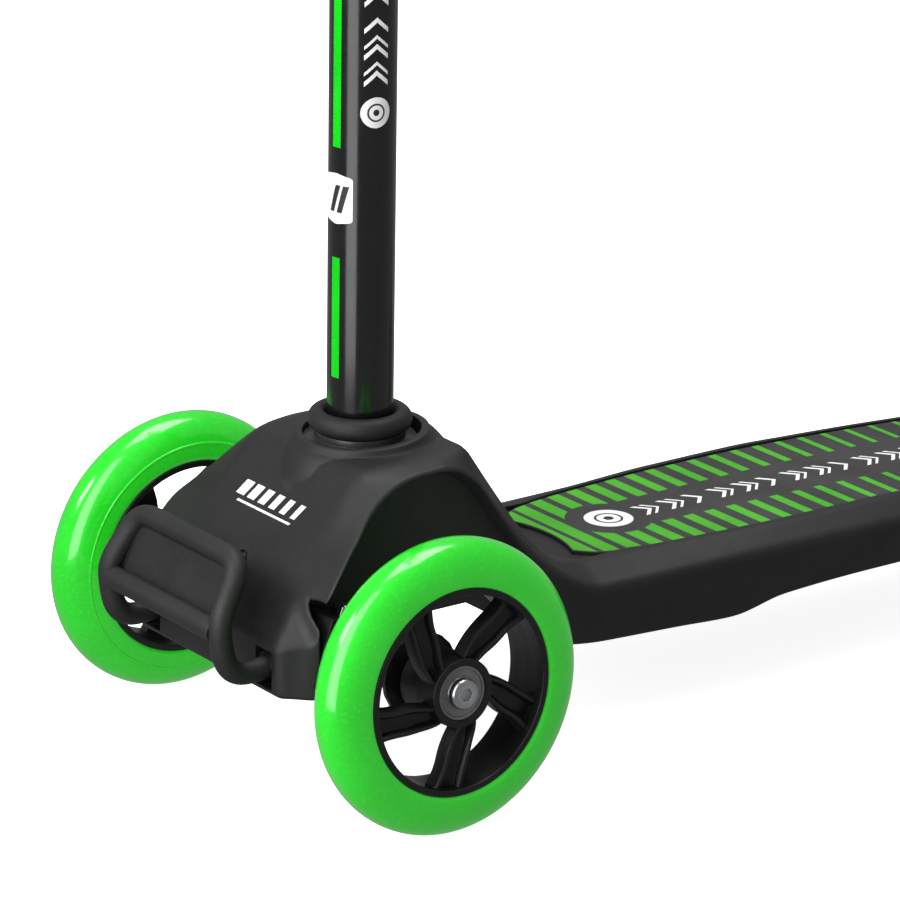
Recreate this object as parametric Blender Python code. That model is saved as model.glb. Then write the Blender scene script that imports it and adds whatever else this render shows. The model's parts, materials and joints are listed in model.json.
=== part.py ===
"""Three-wheeled children's kick scooter.

Lengths are in millimetres about the middle of the front axle, with -Y the way
the scooter rolls forward, +X its left side and the floor at Z = 0.  MM turns
them into metres, and ORIGIN_Y moves the finished scooter so that its
footprint is centred on the origin.
"""
import math

import bmesh
import bpy
from mathutils import Matrix, Vector

MM = 0.001
GAP = 0.3
ORIGIN_Y = -210.0

# Front wheels
WHEEL_R = 60.0
WHEEL_X = 95.5
CAMBER = math.radians(2.5)
TYRE_HALF = 11.5
TYRE_ROUND_FROM = 44.0
TYRE_BULGE = 2.2
RIM_R = 42.0
BARREL_R = 39.3
HUB_R = 14.0
HUB_HALF = 11.3
SPOKES = 5
SPOKE_PHASE = math.radians(134.0)
BEARING_R = 11.0
BEARING_W = 7.0
AXLE_R = 4.0

# Rear wheel
REAR_Y = 452.0
REAR_R = 40.0
REAR_HALF = 12.0

# Steering
KING_X = 49.0
KING_Y = -20.0
KING_Z = 64.0
KING_TILT = math.radians(20.0)
ARM_LENGTH = 28.0
ARM_RAISE = 3.0

# Stem
STEM_Y = 25.5
TUBE_R = 13.5
TUBE_BORE = 12.0
TUBE_FOOT_Z = 74.0
TUBE_TOP_Z = 470.0
UPPER_R = 11.1
UPPER_FOOT_Z = 250.0
BAR_Z = 655.0
BAR_HALF = 135.0
GRIP_LENGTH = 98.0
GRIP_BORE = 11.4
RING_Z = 134.3

# Deck
RIM_Z = 71.5
BEND_Y = 255.0
BEND_SLOPE = 0.025
MAT_FRONT = 118.0
MAT_REAR = 396.0
MAT_DROP = 0.7
MAT_THICK = 1.6

# Latch
LEVER_Y = -42.5
LEVER_Z = 61.5
LATCH_Z = 89.0

parts = bpy.data.collections.new("kick_scooter")
cutters = bpy.data.collections.new("kick_scooter_cutters")


def clear_scene():
    for item in list(bpy.data.objects):
        bpy.data.objects.remove(item, do_unlink=True)
    for group in (parts, cutters):
        bpy.context.scene.collection.children.link(group)


def finish(name, mesh, colour=None, metal=0.0, rough=0.5, smooth=True):
    """Turn a millimetre bmesh into a named object in metres."""
    bmesh.ops.remove_doubles(mesh, verts=mesh.verts, dist=0.005)
    bmesh.ops.recalc_face_normals(mesh, faces=mesh.faces)
    bmesh.ops.scale(mesh, vec=(MM, MM, MM), verts=mesh.verts)
    data = bpy.data.meshes.new(name)
    mesh.to_mesh(data)
    mesh.free()
    thing = bpy.data.objects.new(name, data)
    if colour is None:
        cutters.objects.link(thing)
        thing.hide_render = True
        thing.display_type = "WIRE"
        return thing
    parts.objects.link(thing)
    material = bpy.data.materials.new(name + "_mat")
    material.use_nodes = True
    shader = material.node_tree.nodes["Principled BSDF"]
    shader.inputs["Base Color"].default_value = (*colour, 1.0)
    shader.inputs["Metallic"].default_value = metal
    shader.inputs["Roughness"].default_value = rough
    data.materials.append(material)
    if smooth:
        data.shade_smooth()
        data.set_sharp_from_angle(angle=math.radians(35.0))
    return thing


BLACK = {"colour": (0.030, 0.031, 0.033), "rough": 0.55}
SATIN = {"colour": (0.018, 0.019, 0.021), "rough": 0.38}
RUBBER = {"colour": (0.022, 0.022, 0.023), "rough": 0.80}
GREEN = {"colour": (0.010, 0.720, 0.030), "rough": 0.22}
STEEL = {"colour": (0.560, 0.570, 0.580), "metal": 1.0, "rough": 0.32}
MAT_GREY = {"colour": (0.075, 0.076, 0.078), "rough": 0.75}


def along(centre, axis, turn=0.0):
    """Frame at centre with its local Z along axis."""
    facing = Vector(axis).to_track_quat("Z", "Y").to_matrix().to_4x4()
    return Matrix.Translation(centre) @ facing @ Matrix.Rotation(turn, 4, "Z")


def turned(profile, steps, frame):
    """Revolve (radius, height) points; a profile that leaves the axis is closed."""
    mesh = bmesh.new()
    corners = [mesh.verts.new((radius, 0.0, height)) for radius, height in profile]
    edges = [mesh.edges.new(pair) for pair in zip(corners, corners[1:])]
    if profile[0][0] > 0.001:
        edges.append(mesh.edges.new((corners[-1], corners[0])))
    bmesh.ops.spin(mesh, geom=corners + edges, cent=(0, 0, 0), axis=(0, 0, 1),
                   angle=math.tau, steps=steps, use_merge=True)
    bmesh.ops.remove_doubles(mesh, verts=mesh.verts, dist=0.005)
    bmesh.ops.transform(mesh, matrix=frame, verts=mesh.verts)
    return mesh


def rod(radius, low, high, steps, frame, chamfer=0.0):
    profile = [(0.0, low), (radius, low), (radius, high), (0.0, high)]
    if chamfer > 0.0:
        side = [(radius - chamfer, low), (radius, low + chamfer)]
        side += [(radius, high - chamfer), (radius - chamfer, high)]
        profile[1:3] = side
    return turned(profile, steps, frame)


def hole(radius, low, high, steps, frame):
    """Cutter whose flats, not its corners, lie at the radius."""
    return rod(radius / math.cos(math.pi / steps), low, high, steps, frame)


def pipe(inner, outer, low, high, steps, frame):
    """Tube whose bore is at least the inner radius all round."""
    bore = inner / math.cos(math.pi / steps)
    return turned([(bore, low), (outer, low), (outer, high), (bore, high)], steps, frame)


def prism(outline, low, high, frame):
    """Extrude an outline drawn in the frame's XY plane from low to high."""
    mesh = bmesh.new()
    face = mesh.faces.new([mesh.verts.new((u, v, low)) for u, v in outline])
    grown = bmesh.ops.extrude_face_region(mesh, geom=[face])
    moved = [item for item in grown["geom"] if isinstance(item, bmesh.types.BMVert)]
    bmesh.ops.translate(mesh, vec=(0, 0, high - low), verts=moved)
    bmesh.ops.transform(mesh, matrix=frame, verts=mesh.verts)
    return mesh


def block(low, high, frame=None):
    mesh = bmesh.new()
    bmesh.ops.create_cube(mesh, size=1.0)
    low = Vector(low)
    high = Vector(high)
    bmesh.ops.scale(mesh, vec=high - low, verts=mesh.verts)
    bmesh.ops.translate(mesh, vec=(low + high) / 2, verts=mesh.verts)
    if frame:
        bmesh.ops.transform(mesh, matrix=frame, verts=mesh.verts)
    return mesh


def loft(rings):
    """Skin a run of unlike sections that have the same number of corners."""
    mesh = bmesh.new()
    rows = [[mesh.verts.new(point) for point in ring] for ring in rings]
    count = len(rows[0])
    for one, two in zip(rows, rows[1:]):
        for i in range(count):
            j = (i + 1) % count
            mesh.faces.new((one[i], one[j], two[j], two[i]))
    mesh.faces.new(rows[0])
    mesh.faces.new(rows[-1])
    return mesh


def bar(name, points, radius, resolution=2):
    """Round bar along a run of points, as a mesh with filled ends."""
    curve = bpy.data.curves.new(name, "CURVE")
    curve.dimensions = "3D"
    curve.bevel_depth = radius
    curve.bevel_resolution = resolution
    curve.use_fill_caps = True
    spline = curve.splines.new("POLY")
    spline.points.add(len(points) - 1)
    for knot, point in zip(spline.points, points):
        knot.co = (*point, 1.0)
    holder = bpy.data.objects.new(name, curve)
    cutters.objects.link(holder)
    graph = bpy.context.evaluated_depsgraph_get()
    data = bpy.data.meshes.new_from_object(holder.evaluated_get(graph))
    mesh = bmesh.new()
    mesh.from_mesh(data)
    bpy.data.objects.remove(holder, do_unlink=True)
    bpy.data.meshes.remove(data)
    bmesh.ops.remove_doubles(mesh, verts=mesh.verts, dist=0.005)
    return mesh


def boolean(target, tool, operation):
    step = target.modifiers.new(tool.name, "BOOLEAN")
    step.operation = operation
    step.solver = "EXACT"
    step.object = tool


def cut(target, name, mesh):
    boolean(target, finish(name + "_cut", mesh), "DIFFERENCE")


def add(target, name, mesh):
    boolean(target, finish(name + "_add", mesh), "UNION")


def rounded(corners, radii):
    """Cut corners off at two points each, but leave those with no radius alone."""
    result = []
    for i, (here, radius) in enumerate(zip(corners, radii)):
        if radius == 0.0:
            result.append(here)
            continue
        here = Vector(here)
        before = Vector(corners[i - 1]) - here
        after = Vector(corners[(i + 1) % len(corners)]) - here
        reach = min(radius, before.length * 0.45, after.length * 0.45)
        start = here + before.normalized() * reach
        end = here + after.normalized() * reach
        result.extend([tuple(start), tuple(end)])
    return result


# Deck and front housing ---------------------------------------------------

# y, bottom z, bottom half-width, side z, side half-width, top half-width, top z
SECTIONS = [
    (-48.0, 49.6, 49.0, 69.6, 49.2, 46.8, 71.6),
    (-42.0, 49.6, 54.4, 71.9, 53.6, 46.2, 78.9),
    (-37.0, 49.6, 59.2, 72.4, 58.2, 44.0, 85.0),
    (-34.5, 49.6, 60.2, 80.5, 60.2, 42.9, 88.0),
    (-32.0, 49.6, 60.5, 90.0, 60.9, 41.7, 91.0),
    (-26.0, 49.6, 60.5, 98.6, 59.6, 39.8, 98.3),
    (-18.0, 49.6, 60.0, 105.8, 55.8, 38.2, 107.8),
    (-11.0, 49.6, 60.0, 111.4, 52.7, 37.4, 116.2),
    (-5.0, 49.6, 60.0, 117.0, 49.8, 36.5, 123.4),
    (-1.5, 49.6, 60.0, 119.5, 48.8, 36.1, 127.4),
    (2.5, 49.6, 60.0, 122.2, 47.9, 36.0, 129.8),
    (8.0, 49.6, 60.0, 125.2, 47.1, 36.0, 130.8),
    (14.0, 49.6, 60.0, 127.1, 46.3, 36.0, 131.1),
    (24.0, 49.6, 60.0, 128.4, 45.6, 36.0, 131.4),
    (34.0, 49.6, 60.0, 128.6, 45.2, 36.0, 131.6),
    (42.0, 49.6, 60.0, 126.8, 45.0, 35.8, 131.7),
    (48.0, 49.6, 60.0, 123.0, 45.0, 35.5, 131.8),
    (52.0, 49.6, 59.0, 119.2, 45.0, 35.2, 131.4),
    (56.0, 49.6, 58.0, 114.4, 44.6, 35.3, 126.6),
    (60.0, 49.4, 57.0, 109.4, 44.0, 35.5, 120.6),
    (68.0, 48.6, 55.4, 98.6, 43.5, 36.0, 108.9),
    (76.0, 47.0, 54.0, 88.6, 43.8, 36.5, 97.4),
    (84.0, 45.0, 53.3, 79.5, 45.5, 37.4, 87.0),
    (92.0, 43.4, 52.8, 73.5, 48.6, 38.0, 79.3),
    (101.0, 41.8, 52.5, 68.5, 51.9, 38.4, 73.9),
    (112.0, 40.7, 52.5, 65.5, 54.1, 38.4, 71.6),
    (130.0, 39.9, 52.8, 65.4, 54.4, 37.8, 71.5),
    (150.0, 39.0, 53.0, 65.2, 54.8, 38.8, 71.5),
    (180.0, 37.6, 53.5, 64.8, 55.6, 42.0, 71.5),
    (208.0, 42.0, 53.5, 64.4, 56.2, 44.3, 71.5),
    (255.0, 43.5, 54.0, 64.0, 57.0, 44.8, 71.5),
    (290.0, 43.5, 53.8, 63.0, 56.5, 44.0, 70.6),
    (320.0, 43.2, 52.5, 62.0, 55.0, 42.4, 69.9),
    (350.0, 43.0, 50.0, 61.4, 52.5, 40.0, 69.1),
    (380.0, 42.0, 45.5, 60.6, 48.0, 37.5, 68.4),
    (405.0, 38.0, 37.5, 59.0, 39.5, 34.0, 66.8),
    (425.0, 31.0, 29.5, 56.0, 31.0, 28.5, 63.0),
    (452.0, 28.0, 26.5, 48.0, 27.5, 26.0, 55.5),
    (468.0, 32.0, 25.5, 42.0, 26.0, 25.0, 49.0),
]


def shell_ring(section, inset=0.0, floor=None, reach=None):
    y, low, foot, side, waist, top, high = section
    low = low if floor is None else floor
    widths = [foot - inset, waist - inset, top - inset]
    if reach is not None:
        widths = [min(width, 29.0 if y < -36.5 else reach) for width in widths]
    if inset > 0.0:
        high -= 3.0 if high > 125.0 else 1.0
    half = [
        (0.0, low),
        (widths[0], low),
        (widths[1], side - 0.4 * inset),
        (widths[2], high - inset),
        (0.0, high - inset),
    ]
    outline = half + [(-x, z) for x, z in reversed(half[1:-1])]
    if inset == 0.0:
        edge = 0.9 if y < 58.0 else 3.2
        outline = rounded(outline, (0.0, 3.2, edge, 3.2, 0.0, 3.2, edge, 3.2))
    return [(x, y, z) for x, z in outline]


def section_at(y):
    """Shell section at any y, between its neighbours in the list."""
    for one, two in zip(SECTIONS, SECTIONS[1:]):
        if one[0] <= y <= two[0]:
            share = (y - one[0]) / (two[0] - one[0])
            return tuple(a + (b - a) * share for a, b in zip(one, two))
    return SECTIONS[-1]


ARCH = [
    (-35.0, 66.0), (-35.0, 76.0), (-34.4, 84.0), (-32.0, 89.8), (-25.5, 98.0), (-18.1, 104.4),
    (-11.5, 109.8), (-5.6, 115.2), (1.6, 120.3), (6.7, 123.3), (14.0, 125.9), (23.0, 127.1),
    (34.0, 127.2), (42.0, 125.4), (47.5, 122.0), (52.6, 117.2), (58.0, 110.5), (66.0, 99.5),
    (76.0, 86.0), (84.0, 74.0), (88.0, 60.0), (88.0, 30.0), (-35.0, 30.0),
]


def wheel_arch(side):
    """Room for a front wheel, whose roof drops a little towards the middle."""
    inner = [(20.0 + (y - 20.0) * 0.955, 60.0 + (z - 60.0) * 0.955) for y, z in ARCH]
    stations = [(38.0, inner), (45.0, ARCH), (75.0, ARCH)]
    return loft([[(side * x, y, z) for y, z in outline] for x, outline in stations])


def latch_boss(frame):
    """Seat of the latch spring, cut off just under the sloping front."""
    mesh = rod(9.0, -40.0, -25.0, 18, frame)
    everything = mesh.verts[:] + mesh.edges[:] + mesh.faces[:]
    bmesh.ops.bisect_plane(
        mesh, geom=everything, plane_co=(0, -48, 71.0), plane_no=(0, -1.194, 1), clear_outer=True,
    )
    bmesh.ops.holes_fill(mesh, edges=mesh.edges[:])
    return mesh


def mat_outline(inset, nose):
    """Plan of the deck's grip area as seen from above, in x and y."""
    stations = [
        (134.0, 33.6), (150.0, 36.4), (183.0, 39.2), (208.0, 40.6), (255.0, 41.1),
        (290.0, 40.4), (320.0, 38.9), (350.0, 36.4), (375.0, 33.0), (390.0, 27.0),
    ]
    half = nose + [(x, y) for y, x in stations] + [(20.0, MAT_REAR)]
    half = [(x - inset, y) for x, y in half]
    return half + [(-x, y) for x, y in reversed(half)]


def deck_layer(outline, low, high):
    """Layer on the deck between two heights about the rim, which bends down at the rear."""
    mesh = prism(outline, low, high, Matrix.Translation((0, 0, RIM_Z)))
    everything = mesh.verts[:] + mesh.edges[:] + mesh.faces[:]
    bmesh.ops.bisect_plane(mesh, geom=everything, plane_co=(0, BEND_Y, 0), plane_no=(0, 1, 0))
    for corner in mesh.verts:
        corner.co.z -= BEND_SLOPE * max(0.0, corner.co.y - BEND_Y)
    return mesh


def deck_shell():
    shell = finish("deck_shell", loft([shell_ring(row) for row in SECTIONS]), **BLACK)
    add(shell, "neck_ring", neck_ring())
    for index, (start, stop, reach) in enumerate(cavities()):
        inside = [row[0] for row in SECTIONS if start < row[0] < stop]
        inside += [-37.5] if start < -37.5 < stop else []
        rows = [section_at(y) for y in sorted([start, *inside, stop])]
        rings = [shell_ring(row, inset=3.4, floor=20.0, reach=reach) for row in rows]
        cut(shell, f"cavity_{index}", loft(rings))
    for side in (-1, 1):
        cut(shell, f"arch_{side}", wheel_arch(side))
        spot = (side * 22.0, 0.0, 0.0)
        boss = block((-7, -35, 70), (7, -6, 86), Matrix.Translation(spot))
        add(shell, f"beam_boss_{side}", boss)
    latch = along((0, 0, LATCH_Z), (0, 1, 0))
    add(shell, "latch_boss", latch_boss(latch))
    cut(shell, "under_arch", block((-70, -34.9, 20), (70, 86, 66)))
    cut(shell, "beam_room", block((-70, -14.5, -14.7), (70, 12.0, 14.4), king_frame(0.0)))
    nose = [(22.0, 97.0), (31.0, 105.0), (34.4, 117.0)]
    bed = mat_outline(-0.6, nose)
    cut(shell, "mat_bed", deck_layer(bed, -MAT_THICK - MAT_DROP, 6.0))
    cut(shell, "neck_recess", hole(24.0, 129.6, 150.0, 28, along((0, STEM_Y + 1, 0), (0, 0, 1))))
    cut(shell, "neck_bore", hole(17.0, 100.0, 150.0, 24, along((0, STEM_Y, 0), (0, 0, 1))))
    for side in (-1, 1):
        middle = side * 40.0
        pocket = block((middle - 5.6, -55, 52.0), (middle + 5.6, -37, 68))
        cut(shell, f"lever_pocket_{side}", pocket)
        bore = along((0, LEVER_Y, LEVER_Z), (1, 0, 0))
        ends = sorted((side * 31.0, side * 52.0))
        cut(shell, f"lever_bore_{side}", hole(2.0 + GAP, ends[0], ends[1], 12, bore))
        spot = king_frame(side * 22.0)
        cut(shell, f"screw_bore_{side}", hole(1.7, 8.0, 23.5, 12, spot))
    cut(shell, "latch_bore", hole(4.0 + GAP, -60.0, 0.0, 14, latch))
    cut(shell, "wheel_slot", block((-14.0, 406.0, 10), (14.0, 480, 90)))
    axle = along((0, REAR_Y, REAR_R), (1, 0, 0))
    cut(shell, "axle_bore", hole(AXLE_R + GAP, -40.0, 40.0, 20, axle))
    cut(shell, "brake_bore", hole(2.0 + GAP, -50.0, 33.0, 12, along((0, 412, 60), (1, 0, 0))))
    return shell


def cavities():
    """Runs of the hollow underside: y from, y to, widest half-width."""
    runs = [(-43.5, 86.0, 34.6)]
    edges = [112.0, 200.0, 288.0, 376.0]
    runs += [(one, two - 3.0, None) for one, two in zip(edges, edges[1:])]
    return runs


def neck_ring():
    tilted = along((0, STEM_Y + 1.4, RING_Z), (0, -math.sin(math.radians(3)), 1))
    profile = [(0.0, -14.0), (33.0, -14.0), (27.4, -1.6), (26.6, -0.4), (25.4, 0.2), (0.0, 0.2)]
    return turned(profile, 28, tilted)


def grip_mat():
    nose = [(20.0, MAT_FRONT - 4.0), (26.0, 120.0), (30.6, 125.0)]
    layer = deck_layer(mat_outline(0.0, nose), 0.02 - MAT_DROP - MAT_THICK, -MAT_DROP)
    mat = finish("grip_mat", layer, **MAT_GREY)
    front = along((0, MAT_FRONT + 4.0 - 57.0, RIM_Z), (0, 0, 1))
    cut(mat, "mat_front", hole(57.0, -10.0, 10.0, 64, front))
    return mat


# Steering -----------------------------------------------------------------

def king_frame(x):
    """Frame on the kingpin line: local Z along the pin and local Y rearward."""
    return Matrix.Translation((x, KING_Y, KING_Z)) @ Matrix.Rotation(-KING_TILT, 4, "X")


def front_beam():
    outline = [(-14, -14), (9, -14), (9, -10.3), (-10.5, -10.3)]
    outline += [(-10.5, 10.3), (9, 10.3), (9, 14), (-14, 14)]
    frame = king_frame(0.0) @ Matrix(((0, 0, 1, 0), (1, 0, 0, 0), (0, 1, 0, 0), (0, 0, 0, 1)))
    beam = finish("front_beam", prism(outline, -59.0, 59.0, frame), smooth=False, **SATIN)
    for side in (-1, 1):
        cut(beam, f"king_bore_{side}", hole(AXLE_R + 0.1, -30, 30, 16, king_frame(side * KING_X)))
        cut(beam, f"beam_screw_{side}", hole(2.3, -30, 30, 12, king_frame(side * 22.0)))
    return beam


def kingpin(side, name):
    frame = king_frame(side * KING_X)
    pin = rod(AXLE_R, -14.2, 19.0, 12, frame)
    made = finish("kingpin_" + name, pin, **STEEL)
    add(made, "kingpin_head_" + name, rod(6.5, -17.4, -14.1, 6, frame))
    nut = pipe(AXLE_R + 0.05, 6.5, 14.2, 18.4, 6, frame)
    finish("kingpin_nut_" + name, nut, smooth=False, **STEEL)
    bush = pipe(AXLE_R + 0.1, 8.0, 7.4, 10.0, 16, frame)
    finish("kingpin_bush_" + name, bush, **RUBBER)


def wheel_axis(side):
    return Vector((side * math.cos(CAMBER), 0.0, math.sin(CAMBER)))


def wheel_centre(side):
    """Lowest point of the leaning tyre touches the floor."""
    lift = TYRE_ROUND_FROM * math.cos(CAMBER) + (WHEEL_R - TYRE_ROUND_FROM)
    return Vector((side * WHEEL_X, 0.0, lift))


def knuckle(side, name):
    king = king_frame(side * KING_X)
    axle = along(wheel_centre(side), wheel_axis(side))
    made = finish("knuckle_" + name, rod(9.0, -10.0, 7.1, 20, king), **SATIN)
    stub = [(0, -34.5), (9.5, -34.5), (9.5, -20.0), (17.5, -18.5), (17.5, -16.4), (8.0, -14.6)]
    stub += [(6.4, -13.2), (0, -13.2)]
    add(made, "stub_" + name, turned(stub, 20, axle))
    inner = [(side * 51.0, -26.0, 57.0), (side * 51.0, -12.0, 57.0)]
    inner += [(side * 51.0, -12.0, 68.0), (side * 51.0, -26.0, 68.0)]
    outer = [(side * 71.0, -7.5, 53.0), (side * 71.0, 7.5, 53.0)]
    outer += [(side * 71.0, 7.5, 65.0), (side * 71.0, -7.5, 65.0)]
    add(made, "carrier_" + name, loft([inner, outer]))
    low = (-5.0, 2.0, ARM_RAISE - 3.5)
    add(made, "steer_arm_" + name, block(low, (5.0, ARM_LENGTH + 5.0, ARM_RAISE + 3.5), king))
    end = king @ Matrix.Translation((0, ARM_LENGTH, 0))
    add(made, "ball_stud_" + name, rod(3.0, ARM_RAISE - 12.0, ARM_RAISE, 12, end))
    cut(made, "king_run_" + name, hole(AXLE_R + 0.1, -20, 20, 16, king))
    cut(made, "nut_room_" + name, hole(7.4, -41.0, -34.6, 14, axle))
    cut(made, "axle_run_" + name, hole(AXLE_R + 0.05, -60, 0, 16, axle))
    return made


def tie_rod():
    end = king_frame(KING_X) @ Matrix.Translation((0, ARM_LENGTH, ARM_RAISE - 7.6))
    other = king_frame(-KING_X) @ Matrix.Translation((0, ARM_LENGTH, ARM_RAISE - 7.6))
    left = end.translation
    right = other.translation
    shaft = rod(3.4, -43.0, 43.0, 12, along((left + right) / 2, (1, 0, 0)))
    link = finish("tie_rod", shaft, **STEEL)
    for name, eye in (("left", end), ("right", other)):
        add(link, "tie_eye_" + name, rod(6.6, -3.4, 3.4, 14, eye))
        cut(link, "tie_bore_" + name, hole(3.05, -9, 9, 10, eye))
    return link


# Wheels -------------------------------------------------------------------

def tyre_profile(seat, round_from, outer, half):
    bulge = []
    for i in range(9):
        angle = math.pi * i / 8
        share = abs(math.cos(angle)) ** (2 / TYRE_BULGE)
        rise = math.sin(angle) ** (2 / TYRE_BULGE)
        height = math.copysign(half * share, -math.cos(angle))
        bulge.append((round_from + (outer - round_from) * rise, height))
    return bulge + [(seat, half - 0.4), (seat, -half + 0.4)]


def bearings(name, frame, spread, width):
    for label, where in (("outer", spread), ("inner", -spread)):
        shape = pipe(AXLE_R + 0.05, BEARING_R, where - width / 2, where + width / 2, 16, frame)
        finish(f"bearing_{label}_{name}", shape, **STEEL)
    gap = spread - width / 2 - 0.05
    finish("bearing_spacer_" + name, pipe(AXLE_R + 0.1, 6.0, -gap, gap, 12, frame), **STEEL)


# radius, lag behind the rim end in degrees, share of the full width
SPOKE_PATH = [
    (13.2, -24.0, 0.55), (18.5, -14.5, 0.9), (25.0, -7.0, 1), (33.0, -2.5, 1), (39.7, 0, 0.9),
]


def spoke(frame, turn):
    """Curved spoke with two raised edges and a groove between them."""
    middle = []
    for radius, lag, _ in SPOKE_PATH:
        angle = turn + math.radians(lag)
        middle.append(Vector((math.cos(angle), math.sin(angle), 0.0)) * radius)
    rings = []
    for i, here in enumerate(middle):
        ahead = middle[min(i + 1, len(middle) - 1)] - middle[max(i - 1, 0)]
        across = Vector((0, 0, 1)).cross(ahead.normalized())
        shape = [(-6.2, 3.0), (-5.6, 9.0), (-3.4, 9.0), (-2.4, 6.0)]
        shape += [(-u, w) for u, w in reversed(shape)]
        wide = across * SPOKE_PATH[i][2]
        rings.append([frame @ (here + wide * u + Vector((0, 0, w))) for u, w in shape])
    return loft(rings)


def front_wheel(side, name):
    frame = along(wheel_centre(side), wheel_axis(side))
    forward = math.atan2(*reversed((frame.to_3x3().inverted() @ Vector((0, -1, 0))).xy))
    upward = math.atan2(*reversed((frame.to_3x3().inverted() @ Vector((0, 0, 1))).xy))
    sense = 1.0 if math.sin(upward - forward) > 0 else -1.0
    tyre = tyre_profile(RIM_R + 0.2, TYRE_ROUND_FROM, WHEEL_R, TYRE_HALF)
    finish("tyre_" + name, turned(tyre, 32, frame), **GREEN)
    felloe = [(BARREL_R, -11.2), (RIM_R, -11.2), (RIM_R, 11.2), (BARREL_R, 11.2)]
    rim = finish("rim_" + name, turned(felloe, 32, frame), **SATIN)
    hub = [
        (8.0, -3.6), (BEARING_R + 0.05, -3.6), (BEARING_R + 0.05, -HUB_HALF), (HUB_R, -HUB_HALF),
        (HUB_R, HUB_HALF), (BEARING_R + 0.05, HUB_HALF), (BEARING_R + 0.05, 3.6), (8.0, 3.6),
    ]
    add(rim, "hub_" + name, turned(hub, 16, frame))
    mirror = Matrix.Diagonal((1, sense, 1, 1))
    base = frame @ Matrix.Rotation(forward, 4, "Z") @ mirror
    for i in range(SPOKES):
        add(rim, f"spoke_{i}_{name}", spoke(base, SPOKE_PHASE + math.tau * i / SPOKES))
    bearings(name, frame, 7.2, BEARING_W)
    axle_bolt(name, frame, -39.0, 11.5, -35.2)


def axle_bolt(name, frame, low, high, nut_face):
    shape = [
        (0.0, low), (AXLE_R - 0.4, low), (AXLE_R - 0.02, low + 0.4), (AXLE_R - 0.02, high),
        (6.2, high), (6.2, high + 1.4), (5.4, high + 2.2), (2.8, high + 2.2), (2.8, high + 0.6),
        (0.0, high + 0.6),
    ]
    finish("axle_bolt_" + name, turned(shape, 12, frame), **STEEL)
    nut = pipe(AXLE_R + 0.03, 6.6, nut_face - 4.2, nut_face, 6, frame)
    finish("axle_nut_" + name, nut, smooth=False, **STEEL)


def rear_wheel():
    frame = along((0, REAR_Y, REAR_R), (1, 0, 0))
    tyre = tyre_profile(26.2, 28.0, REAR_R, REAR_HALF)
    finish("tyre_rear", turned(tyre, 24, frame), **GREEN)
    seat = BEARING_R + 0.16
    side = [
        (8.0, 3.6), (seat, 3.6), (seat, HUB_HALF), (15.0, HUB_HALF), (16.0, 4.0),
        (23.0, 4.0), (24.0, 11.4), (26.0, 11.4),
    ]
    felloe = side + [(radius, -height) for radius, height in reversed(side)]
    rim = finish("rim_rear", turned(felloe, 24, frame), **SATIN)
    for i in range(5):
        turn = Matrix.Rotation(math.tau * (i + 0.1) / 5, 4, "Z")
        spot = frame @ turn @ Matrix.Translation((19.5, 0, 0))
        cut(rim, f"window_{i}", hole(2.6, -20, 20, 8, spot))
    bearings("rear", frame, 7.2, BEARING_W)
    for name, where in (("left", 1), ("right", -1)):
        ends = sorted((where * 10.75, where * 13.9))
        finish("rear_washer_" + name, pipe(AXLE_R + 0.1, 6.4, ends[0], ends[1], 12, frame), **STEEL)
    axle_bolt("rear", frame, -33.6, 27.9, -27.9)


# Brake --------------------------------------------------------------------

def rear_brake():
    centre = Vector((0, REAR_Y, REAR_R))
    rows = []
    for i in range(11):
        angle = math.radians(32.0 + 108.0 * i / 10)
        out = Vector((0, math.cos(angle), math.sin(angle)))
        rows.append([
            centre + out * 46.0 + Vector((-13.4, 0, 0)),
            centre + out * 46.0 + Vector((13.4, 0, 0)),
            centre + out * 49.0 + Vector((12.6, 0, 0)),
            centre + out * 49.6 + Vector((0, 0, 0)),
            centre + out * 49.0 + Vector((-12.6, 0, 0)),
        ])
    fender = finish("brake_fender", loft(rows), **BLACK)
    hinge = along((0, 412, 60), (1, 0, 0))
    add(fender, "brake_barrel", rod(4.6, -13.4, 4.0, 20, hinge))
    neck = [(410.0, 63.0), (413.5, 59.5), (418.5, 72.0), (415.5, 74.5)]
    upright = Matrix(((0, 0, 1, 0), (1, 0, 0, 0), (0, 1, 0, 0), (0, 0, 0, 1)))
    add(fender, "brake_neck", prism(neck, -12.0, 3.0, upright))
    cut(fender, "brake_run", hole(2.06, -20, 20, 16, hinge))
    finish("brake_pin", rod(2.0, -29.0, 29.0, 12, hinge), **STEEL)
    coil = []
    for i in range(25):
        angle = math.tau * i / 8
        coil.append((5.0 + 2.0 * i / 8, 412 + 3.6 * math.cos(angle), 60 + 3.6 * math.sin(angle)))
    finish("brake_spring", bar("brake_spring", coil, 0.7, 0), **STEEL)
    return fender


# Latch --------------------------------------------------------------------

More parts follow.
